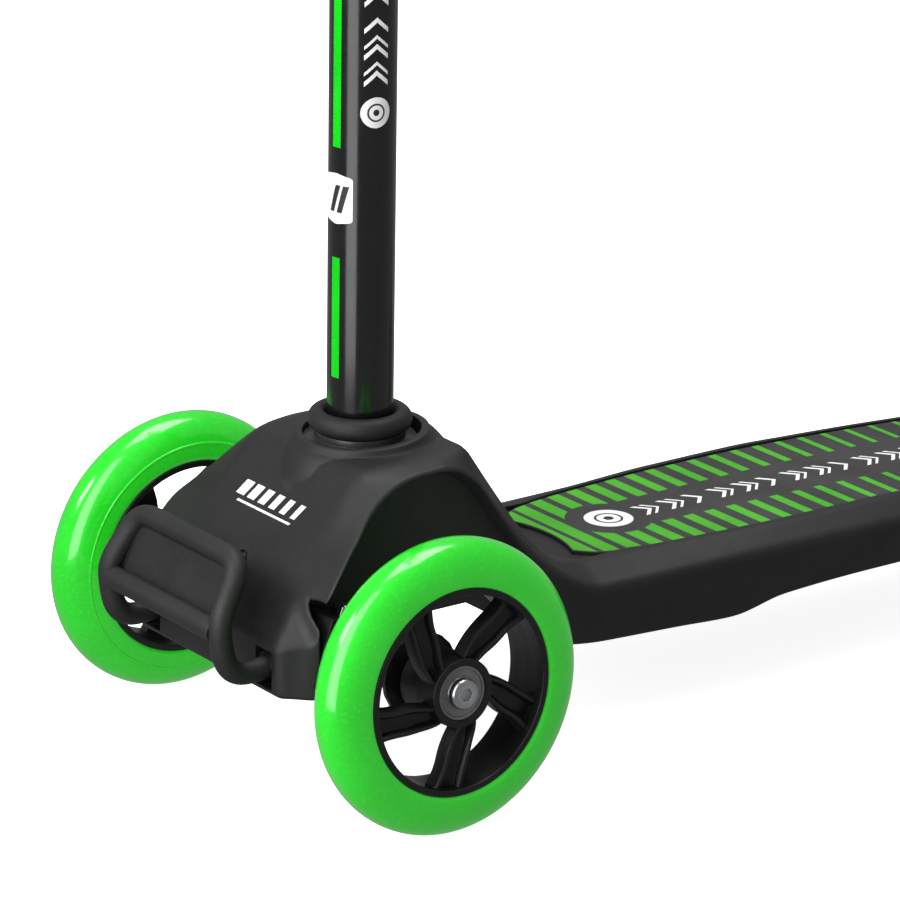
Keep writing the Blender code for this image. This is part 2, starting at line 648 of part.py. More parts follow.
def latch_lever():
    arm = [
        (40.0, -43.5, 61.2), (40.0, -54.0, 59.8), (40.0, -59.5, 60.2), (40.0, -63.5, 62.4),
        (40.0, -66.3, 67.0), (40.0, -68.0, 75.0), (40.0, -68.3, 81.5), (39.4, -66.6, 87.0),
        (38.0, -62.8, 93.4), (36.8, -59.6, 98.8), (34.8, -57.6, 102.2), (30.6, -56.4, 104.2),
    ]
    path = arm + [(-x, y, z) for x, y, z in reversed(arm)]
    lever = finish("latch_lever", bar("latch_bow", path, 4.6, 1), **RUBBER)
    add(lever, "lever_rail", rod(4.7, -39.0, 39.0, 10, along((0, -69.4, 79.4), (1, 0, 0))))
    web = [(-66.0, 80.0), (-57.5, 102.0), (-54.6, 100.4), (-63.0, 78.4)]
    upright = Matrix(((0, 0, 1, 0), (1, 0, 0, 0), (0, 1, 0, 0), (0, 0, 0, 1)))
    add(lever, "lever_web", prism(web, -37.6, 37.6, upright))
    for side in (-1, 1):
        eye = along((side * 40.0, LEVER_Y, LEVER_Z), (1, 0, 0))
        add(lever, f"lever_eye_{side}", rod(5.0, -5.1, 5.1, 12, eye))
        cut(lever, f"lever_run_{side}", hole(2.06, -9, 9, 8, eye))
    for side, name in ((1, "left"), (-1, "right")):
        eye = along((side * 40.0, LEVER_Y, LEVER_Z), (side, 0, 0))
        finish("lever_pin_" + name, rod(2.0, -8.6, 11.4, 12, eye), **STEEL)
    return lever


def latch_pin():
    frame = along((0, 0, LATCH_Z), (0, 1, 0))
    profile = [
        (0.0, -53.8), (6.4, -53.8), (6.4, -51.0), (4.0, -51.0), (4.0, -4.4),
        (7.6, -4.4), (7.6, -2.0), (4.0, -2.0), (4.0, 15.4), (2.6, 17.0), (0.0, 17.0),
    ]
    finish("latch_pin", turned(profile, 14, frame), **STEEL)
    coil = []
    for i in range(37):
        angle = math.tau * i / 8
        reach = -24.0 + 18.6 * i / 36
        coil.append((5.6 * math.cos(angle), reach, LATCH_Z + 5.6 * math.sin(angle)))
    finish("latch_spring", bar("latch_spring", coil, 0.6, 0), **STEEL)


# Stem and handlebar -------------------------------------------------------

def stem():
    up = along((0, STEM_Y, 0), (0, 0, 1))
    socket = [
        (TUBE_R + GAP, 70.0), (16.0, 70.0), (16.6, 70.6), (16.6, 129.95), (23.0, 129.95),
        (23.0, 131.6), (18.4, 131.8), (18.2, 134.6), (TUBE_R + GAP, 134.6),
    ]
    sleeve = finish("stem_socket", turned(socket, 24, up), **SATIN)
    front = along((0, 0, LATCH_Z), (0, 1, 0))
    cut(sleeve, "socket_latch_bore", hole(4.0 + GAP, -5, STEM_Y, 20, front))
    tube = finish("lower_tube", pipe(TUBE_BORE, TUBE_R, TUBE_FOOT_Z, TUBE_TOP_Z, 28, up), **SATIN)
    cut(tube, "tube_latch_bore", hole(4.0 + GAP, -5, STEM_Y, 20, front))
    plug = [
        (0.0, 71.0), (TUBE_R - 0.4, 71.0), (TUBE_R, 71.4), (TUBE_R, 73.9), (TUBE_BORE - 0.1, 73.9),
        (TUBE_BORE - 0.1, 84.0), (9.4, 84.0), (9.4, 76.0), (0.0, 76.0),
    ]
    finish("stem_plug", turned(plug, 20, up), **BLACK)
    collar = [
        (TUBE_R + 0.02, 134.9), (18.6, 134.9), (20.6, 136.4), (21.2, 139.2), (20.6, 141.4),
        (18.8, 143.2), (16.6, 143.6), (14.8, 142.8), (TUBE_R + 0.02, 140.6),
    ]
    finish("stem_collar", turned(collar, 28, up), **RUBBER)
    return tube


def height_clamp():
    up = along((0, STEM_Y, 0), (0, 0, 1))
    low = TUBE_TOP_Z - 24.0
    high = TUBE_TOP_Z + 16.0
    body = [
        (TUBE_R + 0.05, low), (17.0, low), (17.8, low + 0.8), (17.8, high - 1.4), (16.4, high),
        (UPPER_R + 0.9, high), (UPPER_R + 0.9, TUBE_TOP_Z + 0.3), (TUBE_R + 0.05, TUBE_TOP_Z + 0.3),
    ]
    clamp = finish("height_clamp", turned(body, 28, up), **SATIN)
    back = STEM_Y + 16.0
    for side in (-1, 1):
        ear = sorted((side * 1.6, side * 8.4))
        lug = block((ear[0], back - 2, low + 6), (ear[1], back + 15, high - 6))
        add(clamp, f"clamp_ear_{side}", lug)
    cut(clamp, "clamp_split", block((-1.5, STEM_Y + 5, low - 5), (1.5, back + 30, high + 5)))
    middle = (low + high) / 2
    across = along((0, back + 7.5, middle), (1, 0, 0))
    cut(clamp, "clamp_bore", hole(3.0 + GAP, -30, 30, 16, across))
    bush = [
        (UPPER_R + 0.15, TUBE_TOP_Z - 46.0), (TUBE_BORE - 0.05, TUBE_TOP_Z - 46.0),
        (TUBE_BORE - 0.05, TUBE_TOP_Z + 0.05), (UPPER_R + 0.15, TUBE_TOP_Z + 0.05),
    ]
    finish("tube_bush", turned(bush, 24, up), **BLACK)
    bolt = [
        (0.0, -14.0), (5.6, -14.0), (6.0, -13.6), (6.0, -8.8), (3.0, -8.8), (3.0, 20.6), (0.0, 20.6),
    ]
    screw = finish("clamp_bolt", turned(bolt, 16, across), **STEEL)
    pivot = along((17.0, back + 7.5, middle), (0, 1, 0))
    cut(screw, "clamp_bolt_eye", hole(1.65, -9, 9, 12, pivot))
    finish("clamp_pivot", rod(1.6, -8.0, 8.0, 12, pivot), **STEEL)
    quick_lever(pivot, back + 7.5, middle)
    return clamp


def quick_lever(pivot, y, z):
    """Cam lever lying along the tube when it is closed."""
    cam = rod(6.4, -7.4, 7.4, 20, pivot)
    lever = finish("clamp_lever", cam, **SATIN)
    side = [(14.0, -4.0), (21.0, -3.0), (24.6, -20.0), (26.6, -46.0)]
    side += [(24.0, -48.0), (19.6, -44.0), (15.0, -20.0)]
    facing = Matrix.Translation((0, y, z)) @ Matrix.Rotation(math.radians(90.0), 4, "X")
    add(lever, "clamp_handle", prism(side, -7.0, 7.0, facing))
    cut(lever, "clamp_fork", block((8.0, y - 3.4, z - 9.0), (26.0, y + 3.4, z + 9.0)))
    cut(lever, "clamp_eye", hole(1.65, -12, 12, 12, pivot))


def handlebar():
    up = along((0, STEM_Y, 0), (0, 0, 1))
    tube = pipe(9.6, UPPER_R, UPPER_FOOT_Z, BAR_Z - 12.4, 24, up)
    finish("upper_tube", tube, **STEEL)
    across = along((0, STEM_Y, BAR_Z), (1, 0, 0))
    tee = finish("bar_tee", rod(15.0, -26.0, 26.0, 20, across, 1.2), **BLACK)
    add(tee, "tee_skirt", rod(14.3, BAR_Z - 48.0, BAR_Z - 3.0, 20, up, 1.2))
    cut(tee, "tee_bore", hole(UPPER_R + 0.25, BAR_Z - 60, BAR_Z - 12.2, 18, up))
    cut(tee, "tee_cross", hole(UPPER_R + 0.25, -60, 60, 20, across))
    finish("handlebar", pipe(9.6, UPPER_R, -BAR_HALF, BAR_HALF, 24, across), **SATIN)
    inner = BAR_HALF + 3.0 - GRIP_LENGTH
    for side, name in ((1, "left"), (-1, "right")):
        out = along((0, STEM_Y, BAR_Z), (side, 0, 0))
        profile = [
            (GRIP_BORE, inner), (19.0, inner), (19.0, inner + 3.6), (15.2, inner + 5.0),
            (14.4, inner + 30.0), (15.4, inner + 60.0), (14.8, BAR_HALF - 4.0),
            (19.4, BAR_HALF - 1.0), (18.4, BAR_HALF + 3.0), (0.0, BAR_HALF + 3.0),
            (0.0, BAR_HALF + 0.2), (GRIP_BORE, BAR_HALF + 0.2),
        ]
        finish("grip_" + name, turned_open(profile, 16, out), **GREEN)


def turned_open(profile, steps, frame):
    """Revolve a closed profile that touches the axis at one of its sides."""
    start = next(i for i, point in enumerate(profile) if point[0] < 0.001)
    walk = profile[start + 1:] + profile[:start + 1]
    return turned(walk, steps, frame)


def beam_screws():
    for side, name in ((1, "left"), (-1, "right")):
        frame = king_frame(side * 22.0)
        profile = [
            (0.0, 6.8), (3.4, 6.8), (4.2, 7.6), (4.2, 10.2), (1.95, 10.2), (1.65, 13.9),
            (1.65, 20.5), (1.0, 22.0), (0.0, 22.0),
        ]
        finish("beam_screw_" + name, turned(profile, 10, frame), **STEEL)


def centre_footprint():
    """Carry the scooter along Y so that its footprint is centred."""
    for group in (parts, cutters):
        for thing in group.objects:
            thing.location.y = ORIGIN_Y * MM


def build():
    clear_scene()
    deck_shell()
    grip_mat()
    front_beam()
    beam_screws()
    for side, name in ((1, "left"), (-1, "right")):
        kingpin(side, name)
        knuckle(side, name)
        front_wheel(side, name)
    tie_rod()
    rear_wheel()
    rear_brake()
    latch_lever()
    latch_pin()
    stem()
    height_clamp()
    handlebar()
    centre_footprint()


build()
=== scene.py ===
"""Looks of the three-wheeled children's kick scooter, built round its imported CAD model.

Shapes are drawn in millimetres about the middle of the front axle, with -Y the way the
scooter rolls forward and +X its left side, and are placed from the CAD model's own boxes.
"""
import json
import math

import bmesh
import bpy
from mathutils import Matrix, Vector
from mathutils.bvhtree import BVHTree


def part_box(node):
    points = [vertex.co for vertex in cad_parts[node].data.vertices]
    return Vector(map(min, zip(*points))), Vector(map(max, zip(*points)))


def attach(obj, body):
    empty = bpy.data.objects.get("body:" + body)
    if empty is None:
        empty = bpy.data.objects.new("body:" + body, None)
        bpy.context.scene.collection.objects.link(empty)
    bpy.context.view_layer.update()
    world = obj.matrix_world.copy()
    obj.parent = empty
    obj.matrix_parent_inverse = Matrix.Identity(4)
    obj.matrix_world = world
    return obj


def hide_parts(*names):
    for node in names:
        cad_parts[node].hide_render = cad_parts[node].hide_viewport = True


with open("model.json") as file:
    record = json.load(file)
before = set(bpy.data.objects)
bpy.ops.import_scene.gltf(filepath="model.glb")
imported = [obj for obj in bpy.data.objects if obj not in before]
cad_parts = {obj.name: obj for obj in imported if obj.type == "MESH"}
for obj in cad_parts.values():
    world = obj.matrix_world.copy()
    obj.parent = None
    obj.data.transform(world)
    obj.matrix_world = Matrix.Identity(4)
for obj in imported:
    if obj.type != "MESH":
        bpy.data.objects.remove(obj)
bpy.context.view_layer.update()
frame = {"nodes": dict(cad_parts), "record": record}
MM = 0.001
TYRE_LOW, TYRE_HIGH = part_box("tyre_left")
AXLE_Y = (TYRE_LOW.y + TYRE_HIGH.y) / 2
BODY_OF = {n: b for b, names in frame["record"]["behaviour"]["bodies"].items() for n in names}

# Sizes shared with the CAD model, in millimetres
WHEEL_R = 60.0
WHEEL_X = 95.5
CAMBER = math.radians(2.5)
RIM_R = 42.0
REAR_Y = 452.0
STEM_Y = 25.5
TUBE_R = 13.5
TUBE_TOP_Z = 470.0
BAR_Z = 655.0
BAR_HALF = 135.0
KING_Y, KING_Z = -20.0, 64.0
KING_TILT = math.radians(20.0)
LATCH_Z = 89.0
PIN_BORE = (31.0, 48.4)
LEVER_Y, LEVER_Z = -42.5, 61.5
RIM_Z = 71.5
MAT_DROP = 0.7
MAT_THICK = 1.6
BEND_Y = 255.0
BEND_SLOPE = 0.025


# Materials ----------------------------------------------------------------

def noise(tree, coord, scale, detail=3.0, stretch=None):
    node = tree.nodes.new("ShaderNodeTexNoise")
    node.inputs["Scale"].default_value = scale
    node.inputs["Detail"].default_value = detail
    source = coord.outputs["Object"]
    if stretch:
        shaped = tree.nodes.new("ShaderNodeMapping")
        shaped.inputs["Scale"].default_value = stretch
        tree.links.new(source, shaped.inputs["Vector"])
        source = shaped.outputs["Vector"]
    tree.links.new(source, node.inputs["Vector"])
    return node.outputs["Fac"]


def spread(tree, value, low, high, out_low, out_high):
    node = tree.nodes.new("ShaderNodeMapRange")
    node.inputs["From Min"].default_value = low
    node.inputs["From Max"].default_value = high
    node.inputs["To Min"].default_value = out_low
    node.inputs["To Max"].default_value = out_high
    tree.links.new(value, node.inputs["Value"])
    return node.outputs["Result"]


def blend(tree, share, one, two):
    node = tree.nodes.new("ShaderNodeMix")
    node.data_type = "RGBA"
    tree.links.new(share, node.inputs["Factor"])
    for socket, colour in ((node.inputs[6], one), (node.inputs[7], two)):
        if isinstance(colour, tuple):
            socket.default_value = (*colour, 1.0)
        else:
            tree.links.new(colour, socket)
    return node.outputs[2]


def material(name, dark, light, rough, metal=0.0, grain=(1500.0, 0.02), swing=0.06,
             edge=0.0, soft=0.0, brushed=None, **sockets):
    """Principled material whose colour, roughness and bump all vary over the surface."""
    made = bpy.data.materials.new(name)
    made.use_nodes = True
    tree = made.node_tree
    shader = tree.nodes["Principled BSDF"]
    coord = tree.nodes.new("ShaderNodeTexCoord")
    cloud = noise(tree, coord, 38.0)
    speck = noise(tree, coord, grain[0], 2.0, brushed)
    colour = blend(tree, spread(tree, cloud, 0.35, 0.65, 0.0, 1.0), dark, light)
    lift = tuple(min(1.0, part * 1.25 + 0.004) for part in light)
    colour = blend(tree, spread(tree, speck, 0.52, 0.72, 0.0, 0.5), colour, lift)
    # Sharp edges are lightened by Pointiness: partly edge wear, partly a painted highlight along the edges
    if edge > 0.0:
        geometry = tree.nodes.new("ShaderNodeNewGeometry")
        edge_wear_and_sheen = spread(tree, geometry.outputs["Pointiness"], 0.505, 0.56, 0.0, edge)
        wear_and_sheen_tint = tuple(min(1.0, part * 1.6 + 0.02) for part in light)
        colour = blend(tree, edge_wear_and_sheen, colour, wear_and_sheen_tint)
    tree.links.new(colour, shader.inputs["Base Color"])
    smear = noise(tree, coord, 95.0, 4.0)
    gloss = spread(tree, smear, 0.3, 0.7, max(0.02, rough - swing), rough + swing)
    tree.links.new(gloss, shader.inputs["Roughness"])
    bump = tree.nodes.new("ShaderNodeBump")
    bump.inputs["Strength"].default_value = 1.0
    bump.inputs["Distance"].default_value = grain[1] * MM
    tree.links.new(speck, bump.inputs["Height"])
    if soft > 0.0:
        bevel = tree.nodes.new("ShaderNodeBevel")
        bevel.samples = 4
        bevel.inputs["Radius"].default_value = soft * MM
        tree.links.new(bevel.outputs["Normal"], bump.inputs["Normal"])
    tree.links.new(bump.outputs["Normal"], shader.inputs["Normal"])
    shader.inputs["Metallic"].default_value = metal
    for key, value in sockets.items():
        shader.inputs[key.replace("_", " ")].default_value = value
    return made


# edge= sets how far sharp edges are lightened, which is edge wear with a painted edge highlight
HOUSING = material("moulded_plastic", (0.0075, 0.0075, 0.0078), (0.0105, 0.0105, 0.0108), 0.52,
                   grain=(1300.0, 0.030), edge=0.25, soft=0.7, Specular_IOR_Level=0.42)
SATIN = material("satin_black", (0.0045, 0.0045, 0.005), (0.007, 0.007, 0.0075), 0.36,
                 grain=(900.0, 0.012), edge=0.25, soft=0.4, Specular_IOR_Level=0.36)
RUBBER = material("black_rubber", (0.0075, 0.0075, 0.0078), (0.0115, 0.0115, 0.0115), 0.60,
                  grain=(700.0, 0.05), edge=0.2, soft=0.4, Specular_IOR_Level=0.42)
TUBE = material("powder_coat", (0.0045, 0.0045, 0.0048), (0.006, 0.006, 0.0063), 0.17, swing=0.03,
                grain=(800.0, 0.006), Specular_IOR_Level=0.5)
# The tyre's green emission is a painted glow that lifts the green beyond what the lamps light
GREEN = material("green_tyre", (0.004, 0.50, 0.008), (0.008, 0.57, 0.014), 0.24, swing=0.04,
                 grain=(600.0, 0.008), Coat_Weight=1.0, Coat_Roughness=0.09,
                 Emission_Color=(0.07, 1.0, 0.05, 1.0), Emission_Strength=0.2,
                 Specular_IOR_Level=0.4)
GRIP_GREEN = material("green_grip", (0.0, 0.50, 0.012), (0.002, 0.57, 0.018), 0.55,
                      grain=(900.0, 0.04), edge=0.15)
MAT = material("grip_sheet", (0.033, 0.033, 0.034), (0.046, 0.046, 0.047), 0.72,
               grain=(1900.0, 0.10), Specular_IOR_Level=0.3)
INK_GREEN = material("green_print", (0.050, 0.35, 0.012), (0.068, 0.42, 0.018), 0.55,
                     grain=(1900.0, 0.06), Specular_IOR_Level=0.3)
STEM_GREEN = material("green_film", (0.0, 0.52, 0.003), (0.001, 0.60, 0.006), 0.3,
                      grain=(900.0, 0.006), Specular_IOR_Level=0.3)
# This grey, well above the housing's, is a painted sheen for the stem socket's flange; only its low
# roughness is the real gloss
PAINTED_SHEEN_GREY = material("painted_sheen_grey", (0.030, 0.030, 0.031), (0.042, 0.042, 0.043), 0.30,
                 grain=(900.0, 0.008), edge=0.2, soft=0.3)
WHITE = material("white_print", (0.86, 0.86, 0.86), (0.94, 0.94, 0.94), 0.45,
                 grain=(1200.0, 0.01))
DARK_INK = material("dark_print", (0.012, 0.012, 0.013), (0.02, 0.02, 0.021), 0.5,
                    grain=(1200.0, 0.01))
STEEL = material("zinc_steel", (0.36, 0.37, 0.38), (0.50, 0.51, 0.52), 0.27, metal=1.0,
                 grain=(1400.0, 0.006), edge=0.3, soft=0.2)
SHIELD = material("bearing_steel", (0.20, 0.20, 0.205), (0.30, 0.30, 0.305), 0.33, metal=1.0,
                  grain=(1200.0, 0.008), soft=0.15)
ALLOY = material("brushed_alloy", (0.55, 0.56, 0.57), (0.66, 0.67, 0.68), 0.26, metal=1.0,
                 grain=(300.0, 0.010), brushed=(1.0, 1.0, 0.02))


# Mesh helpers -------------------------------------------------------------

def clean(mesh):
    bmesh.ops.remove_doubles(mesh, verts=mesh.verts, dist=0.004)
    bmesh.ops.recalc_face_normals(mesh, faces=mesh.faces)
    return mesh


def to_object(name, mesh):
    """Turn a millimetre bmesh about the axle into an object in the row frame."""
    clean(mesh)
    bmesh.ops.scale(mesh, vec=(MM, MM, MM), verts=mesh.verts)
    bmesh.ops.translate(mesh, vec=(0, AXLE_Y, 0), verts=mesh.verts)
    data = bpy.data.meshes.new(name)
    mesh.to_mesh(data)
    mesh.free()
    thing = bpy.data.objects.new(name, data)
    bpy.context.scene.collection.objects.link(thing)
    return thing


def carve(thing, steps):
    """Apply Boolean steps, each (operation, list of cutter meshes that don't touch)."""
    tools = []
    for index, (operation, shapes) in enumerate(steps):
        joined = bmesh.new()
        for shape in shapes:
            clean(shape)
            data = bpy.data.meshes.new("shape")
            shape.to_mesh(data)
            shape.free()
            joined.from_mesh(data)
            bpy.data.meshes.remove(data)
        tool = to_object(f"{thing.name}_tool_{index}", joined)
        tools.append(tool)
        step = thing.modifiers.new(f"step_{index}", "BOOLEAN")
        step.operation = operation
        step.solver = "EXACT"
        step.object = tool
    graph = bpy.context.evaluated_depsgraph_get()
    data = bpy.data.meshes.new_from_object(thing.evaluated_get(graph))
    thing.modifiers.clear()
    old = thing.data
    thing.data = data
    bpy.data.meshes.remove(old)
    for tool in tools:
        bpy.data.objects.remove(tool, do_unlink=True)
    return thing


def dress(thing, paint, nodes, body=None, angle=32.0, even=False):
    """Give a piece its material, shading and body, and hide the CAD nodes it stands for."""
    thing.data.materials.clear()
    thing.data.materials.append(paint)
    thing.data.shade_smooth()
    thing.data.set_sharp_from_angle(angle=math.radians(angle))
    if even:
        weigh = thing.modifiers.new("even_shading", "WEIGHTED_NORMAL")
        weigh.keep_sharp = True
    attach(thing, body or BODY_OF[nodes[0]])
    if nodes:
        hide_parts(*nodes)
    return thing


def along(centre, axis, turn=0.0):
    facing = Vector(axis).to_track_quat("Z", "Y").to_matrix().to_4x4()
    return Matrix.Translation(centre) @ facing @ Matrix.Rotation(turn, 4, "Z")


def soften(points, radius, closed=True, count=4):
    """Round an outline's corners."""
    result = []
    last = len(points) - 1
    for i, here in enumerate(points):
        here = Vector(here)
        if not closed and i in (0, last):
            result.append(tuple(here))
            continue
        before = Vector(points[i - 1]) - here
        after = Vector(points[(i + 1) % len(points)]) - here
        start = here + before.normalized() * min(radius, before.length * 0.48)
        end = here + after.normalized() * min(radius, after.length * 0.48)
        for k in range(count + 1):
            t = k / count
            spot = start * (1 - t) ** 2 + here * (2 * t * (1 - t)) + end * t ** 2
            result.append(tuple(spot))
    return result


def flow(points, per=4):
    """Smooth open run through the points."""
    knots = [Vector(point) for point in points]
    result = []
    for i in range(len(knots) - 1):
        a = knots[max(i - 1, 0)]
        b, c = knots[i], knots[i + 1]
        d = knots[min(i + 2, len(knots) - 1)]
        for k in range(per):
            t = k / per
            spot = b * 2 + (c - a) * t + (a * 2 - b * 5 + c * 4 - d) * t ** 2
            spot += (b * 3 - a - c * 3 + d) * t ** 3
            result.append(tuple(spot / 2))
    result.append(tuple(knots[-1]))
    return result


def turned(profile, place, steps=96):
    """Revolve a profile of (radius, height); it is closed unless it starts on the axis."""
    mesh = bmesh.new()
    open_ended = profile[0][0] < 0.001
    columns = []
    for k in range(steps):
        angle = math.tau * k / steps
        c, s = math.cos(angle), math.sin(angle)
        columns.append([mesh.verts.new(place @ Vector((r * c, r * s, h))) for r, h in profile])
    count = len(profile)
    for one, two in zip(columns, columns[1:] + columns[:1]):
        for i in range(count - 1 if open_ended else count):
            j = (i + 1) % count
            mesh.faces.new((one[i], two[i], two[j], one[j]))
    return clean(mesh)


def rod(radius, low, high, place, chamfer=0.6, steps=64):
    profile = [(0.0, low), (radius, low), (radius, high), (0.0, high)]
    return turned(soften(profile, chamfer, closed=False), place, steps)


def plain_rod(radius, low, high, place, steps=48):
    return turned([(0.0, low), (radius, low), (radius, high), (0.0, high)], place, steps)


def pipe(inner, outer, low, high, place, chamfer=0.4, steps=64):
    profile = [(inner, low), (outer, low), (outer, high), (inner, high)]
    return turned(soften(profile, chamfer), place, steps)


def prism(outline, low, high, place):
    mesh = bmesh.new()
    face = mesh.faces.new([mesh.verts.new((u, v, low)) for u, v in outline])
    grown = bmesh.ops.extrude_face_region(mesh, geom=[face])
    moved = [item for item in grown["geom"] if isinstance(item, bmesh.types.BMVert)]
    bmesh.ops.translate(mesh, vec=(0, 0, high - low), verts=moved)
    bmesh.ops.transform(mesh, matrix=place, verts=mesh.verts)
    return clean(mesh)


def block(low, high, place=Matrix.Identity(4)):
    outline = [(low[0], low[1]), (high[0], low[1]), (high[0], high[1]), (low[0], high[1])]
    return prism(outline, low[2], high[2], place)


def loft(rings, closed_ends=True):
    mesh = bmesh.new()
    rows = [[mesh.verts.new(point) for point in ring] for ring in rings]
    count = len(rows[0])
    for one, two in zip(rows, rows[1:]):
        for i in range(count):
            j = (i + 1) % count
            mesh.faces.new((one[i], one[j], two[j], two[i]))
    if closed_ends:
        mesh.faces.new(rows[0])
        mesh.faces.new(rows[-1])
    return clean(mesh)


def sweep(points, radius, sides=20):
    """Round bar along a run of points."""
    knots = [Vector(point) for point in points]
    normal = (knots[1] - knots[0]).orthogonal().normalized()
    rings = []
    for i, here in enumerate(knots):
        ahead = knots[min(i + 1, len(knots) - 1)] - knots[max(i - 1, 0)]
        ahead.normalize()
        normal = (normal - ahead * normal.dot(ahead)).normalized()
        other = ahead.cross(normal)
        turns = [math.tau * k / sides for k in range(sides)]
        rings.append([here + (normal * math.cos(t) + other * math.sin(t)) * radius for t in turns])
    return loft(rings)


def from_cad(node, paint, bevel=0.35, angle=38.0):
    """A CAD node's own shape with its flat facets merged and its hard edges eased."""
    mesh = bmesh.new()
    mesh.from_mesh(frame["nodes"][node].data)
    bmesh.ops.remove_doubles(mesh, verts=mesh.verts, dist=0.000002)
    bmesh.ops.dissolve_limit(mesh, angle_limit=math.radians(1.0), verts=mesh.verts,
                             edges=mesh.edges)
    data = bpy.data.meshes.new(node + "_fine")
    mesh.to_mesh(data)
    mesh.free()
    thing = bpy.data.objects.new(node + "_fine", data)
    bpy.context.scene.collection.objects.link(thing)
    ease = thing.modifiers.new("ease", "BEVEL")
    ease.width = bevel * MM
    ease.segments = 2
    ease.limit_method = "ANGLE"
    ease.angle_limit = math.radians(angle)
    ease.use_clamp_overlap = True
    graph = bpy.context.evaluated_depsgraph_get()
    finished = bpy.data.meshes.new_from_object(thing.evaluated_get(graph))
    thing.modifiers.clear()
    thing.data = finished
    bpy.data.meshes.remove(data)
    return dress(thing, paint, [node], even=True)


def decal(name, outlines, place, target, paint, body, lift=0.05, step=1.2):
    """Thin printed film laid on another piece, pressed on along the place's -Z."""
    tree = BVHTree.FromObject(target, bpy.context.evaluated_depsgraph_get())
    mesh = bmesh.new()
    for outline in outlines:
        mesh.faces.new([mesh.verts.new((u, v, 0.0)) for u, v in outline])
    for axis in (0, 1):
        values = [corner.co[axis] for corner in mesh.verts]
        spot = math.floor(min(values) / step) * step + step * 0.47
        while spot < max(values):
            where = Vector((0, 0, 0))
            where[axis] = spot
            facing = Vector((0, 0, 0))
            facing[axis] = 1.0
            everything = mesh.verts[:] + mesh.edges[:] + mesh.faces[:]
            bmesh.ops.bisect_plane(mesh, geom=everything, plane_co=where, plane_no=facing)
            spot += step
    down = (place.to_3x3() @ Vector((0, 0, -1))).normalized()
    missed = []
    for corner in mesh.verts:
        high = place @ Vector((corner.co.x, corner.co.y, 30.0))
        high = Vector((high.x * MM, high.y * MM + AXLE_Y, high.z * MM))
        hit, normal, _, _ = tree.ray_cast(high, down)
        if hit is None:
            missed.append(corner)
            continue
        if normal.dot(down) > 0:
            normal = -normal
        corner.co = hit + normal * lift * MM
    bmesh.ops.delete(mesh, geom=missed, context="VERTS")
    grown = bmesh.ops.extrude_face_region(mesh, geom=mesh.faces[:])
    fresh = [item for item in grown["geom"] if isinstance(item, bmesh.types.BMVert)]
    bmesh.ops.translate(mesh, vec=down * (lift + 0.05) * MM, verts=fresh)
    bmesh.ops.recalc_face_normals(mesh, faces=mesh.faces)
    data = bpy.data.meshes.new(name)
    mesh.to_mesh(data)
    mesh.free()
    thing = bpy.data.objects.new(name, data)
    bpy.context.scene.collection.objects.link(thing)
    thing.data.materials.append(paint)
    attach(thing, body)
    return thing


# Deck and housing ---------------------------------------------------------

# y, bottom z, bottom half-width, side z, side half-width, top half-width, top z
SECTIONS = [
    (-48.0, 49.6, 49.0, 69.6, 49.2, 46.8, 71.6),
    (-42.0, 49.6, 54.4, 71.9, 53.6, 46.2, 78.9),
    (-37.0, 49.6, 59.2, 72.4, 58.2, 44.0, 85.0),
    (-34.5, 49.6, 60.2, 80.5, 60.2, 42.9, 88.0),
    (-32.0, 49.6, 60.5, 90.0, 60.9, 41.7, 91.0),
    (-26.0, 49.6, 60.5, 98.6, 59.6, 39.8, 98.3),
    (-18.0, 49.6, 60.0, 105.8, 55.8, 38.2, 107.8),
    (-11.0, 49.6, 60.0, 111.4, 52.7, 37.4, 116.2),
    (-5.0, 49.6, 60.0, 117.0, 49.8, 36.5, 123.4),
    (-1.5, 49.6, 60.0, 119.5, 48.8, 36.1, 127.4),
    (2.5, 49.6, 60.0, 122.2, 47.9, 36.0, 129.8),
    (8.0, 49.6, 60.0, 125.2, 47.1, 36.0, 130.8),
    (14.0, 49.6, 60.0, 127.1, 46.3, 36.0, 131.1),
    (24.0, 49.6, 60.0, 128.4, 45.6, 36.0, 131.4),
    (34.0, 49.6, 60.0, 128.6, 45.2, 36.0, 131.6),
    (42.0, 49.6, 60.0, 126.8, 45.0, 35.8, 131.7),
    (48.0, 49.6, 60.0, 123.0, 45.0, 35.5, 131.8),
    (52.0, 49.6, 59.0, 119.2, 45.0, 35.2, 131.4),
    (56.0, 49.6, 58.0, 114.4, 44.6, 35.3, 126.6),
    (60.0, 49.4, 57.0, 109.4, 44.0, 35.5, 120.6),
    (68.0, 48.6, 55.4, 98.6, 43.5, 36.0, 108.9),
    (76.0, 47.0, 54.0, 88.6, 43.8, 36.5, 97.4),
    (84.0, 45.0, 53.3, 79.5, 45.5, 37.4, 87.0),
    (92.0, 43.4, 52.8, 73.5, 48.6, 38.0, 79.3),
    (101.0, 41.8, 52.5, 68.5, 51.9, 38.4, 73.9),
    (112.0, 40.7, 52.5, 65.5, 54.1, 38.4, 71.6),
    (130.0, 39.9, 52.8, 65.4, 54.4, 37.8, 71.5),
    (150.0, 39.0, 53.0, 65.2, 54.8, 38.8, 71.5),
    (180.0, 37.6, 53.5, 64.8, 55.6, 42.0, 71.5),
    (208.0, 42.0, 53.5, 64.4, 56.2, 44.3, 71.5),
    (255.0, 43.5, 54.0, 64.0, 57.0, 44.8, 71.5),
    (290.0, 43.5, 53.8, 63.0, 56.5, 44.0, 70.6),
    (320.0, 43.2, 52.5, 62.0, 55.0, 42.4, 69.9),
    (350.0, 43.0, 50.0, 61.4, 52.5, 40.0, 69.1),
    (380.0, 42.0, 45.5, 60.6, 48.0, 37.5, 68.4),
    (405.0, 38.0, 37.5, 59.0, 39.5, 34.0, 66.8),
    (425.0, 31.0, 29.5, 56.0, 31.0, 28.5, 63.0),
    (452.0, 28.0, 26.5, 48.0, 27.5, 26.0, 55.5),
    (468.0, 32.0, 25.5, 42.0, 26.0, 25.0, 49.0),
]


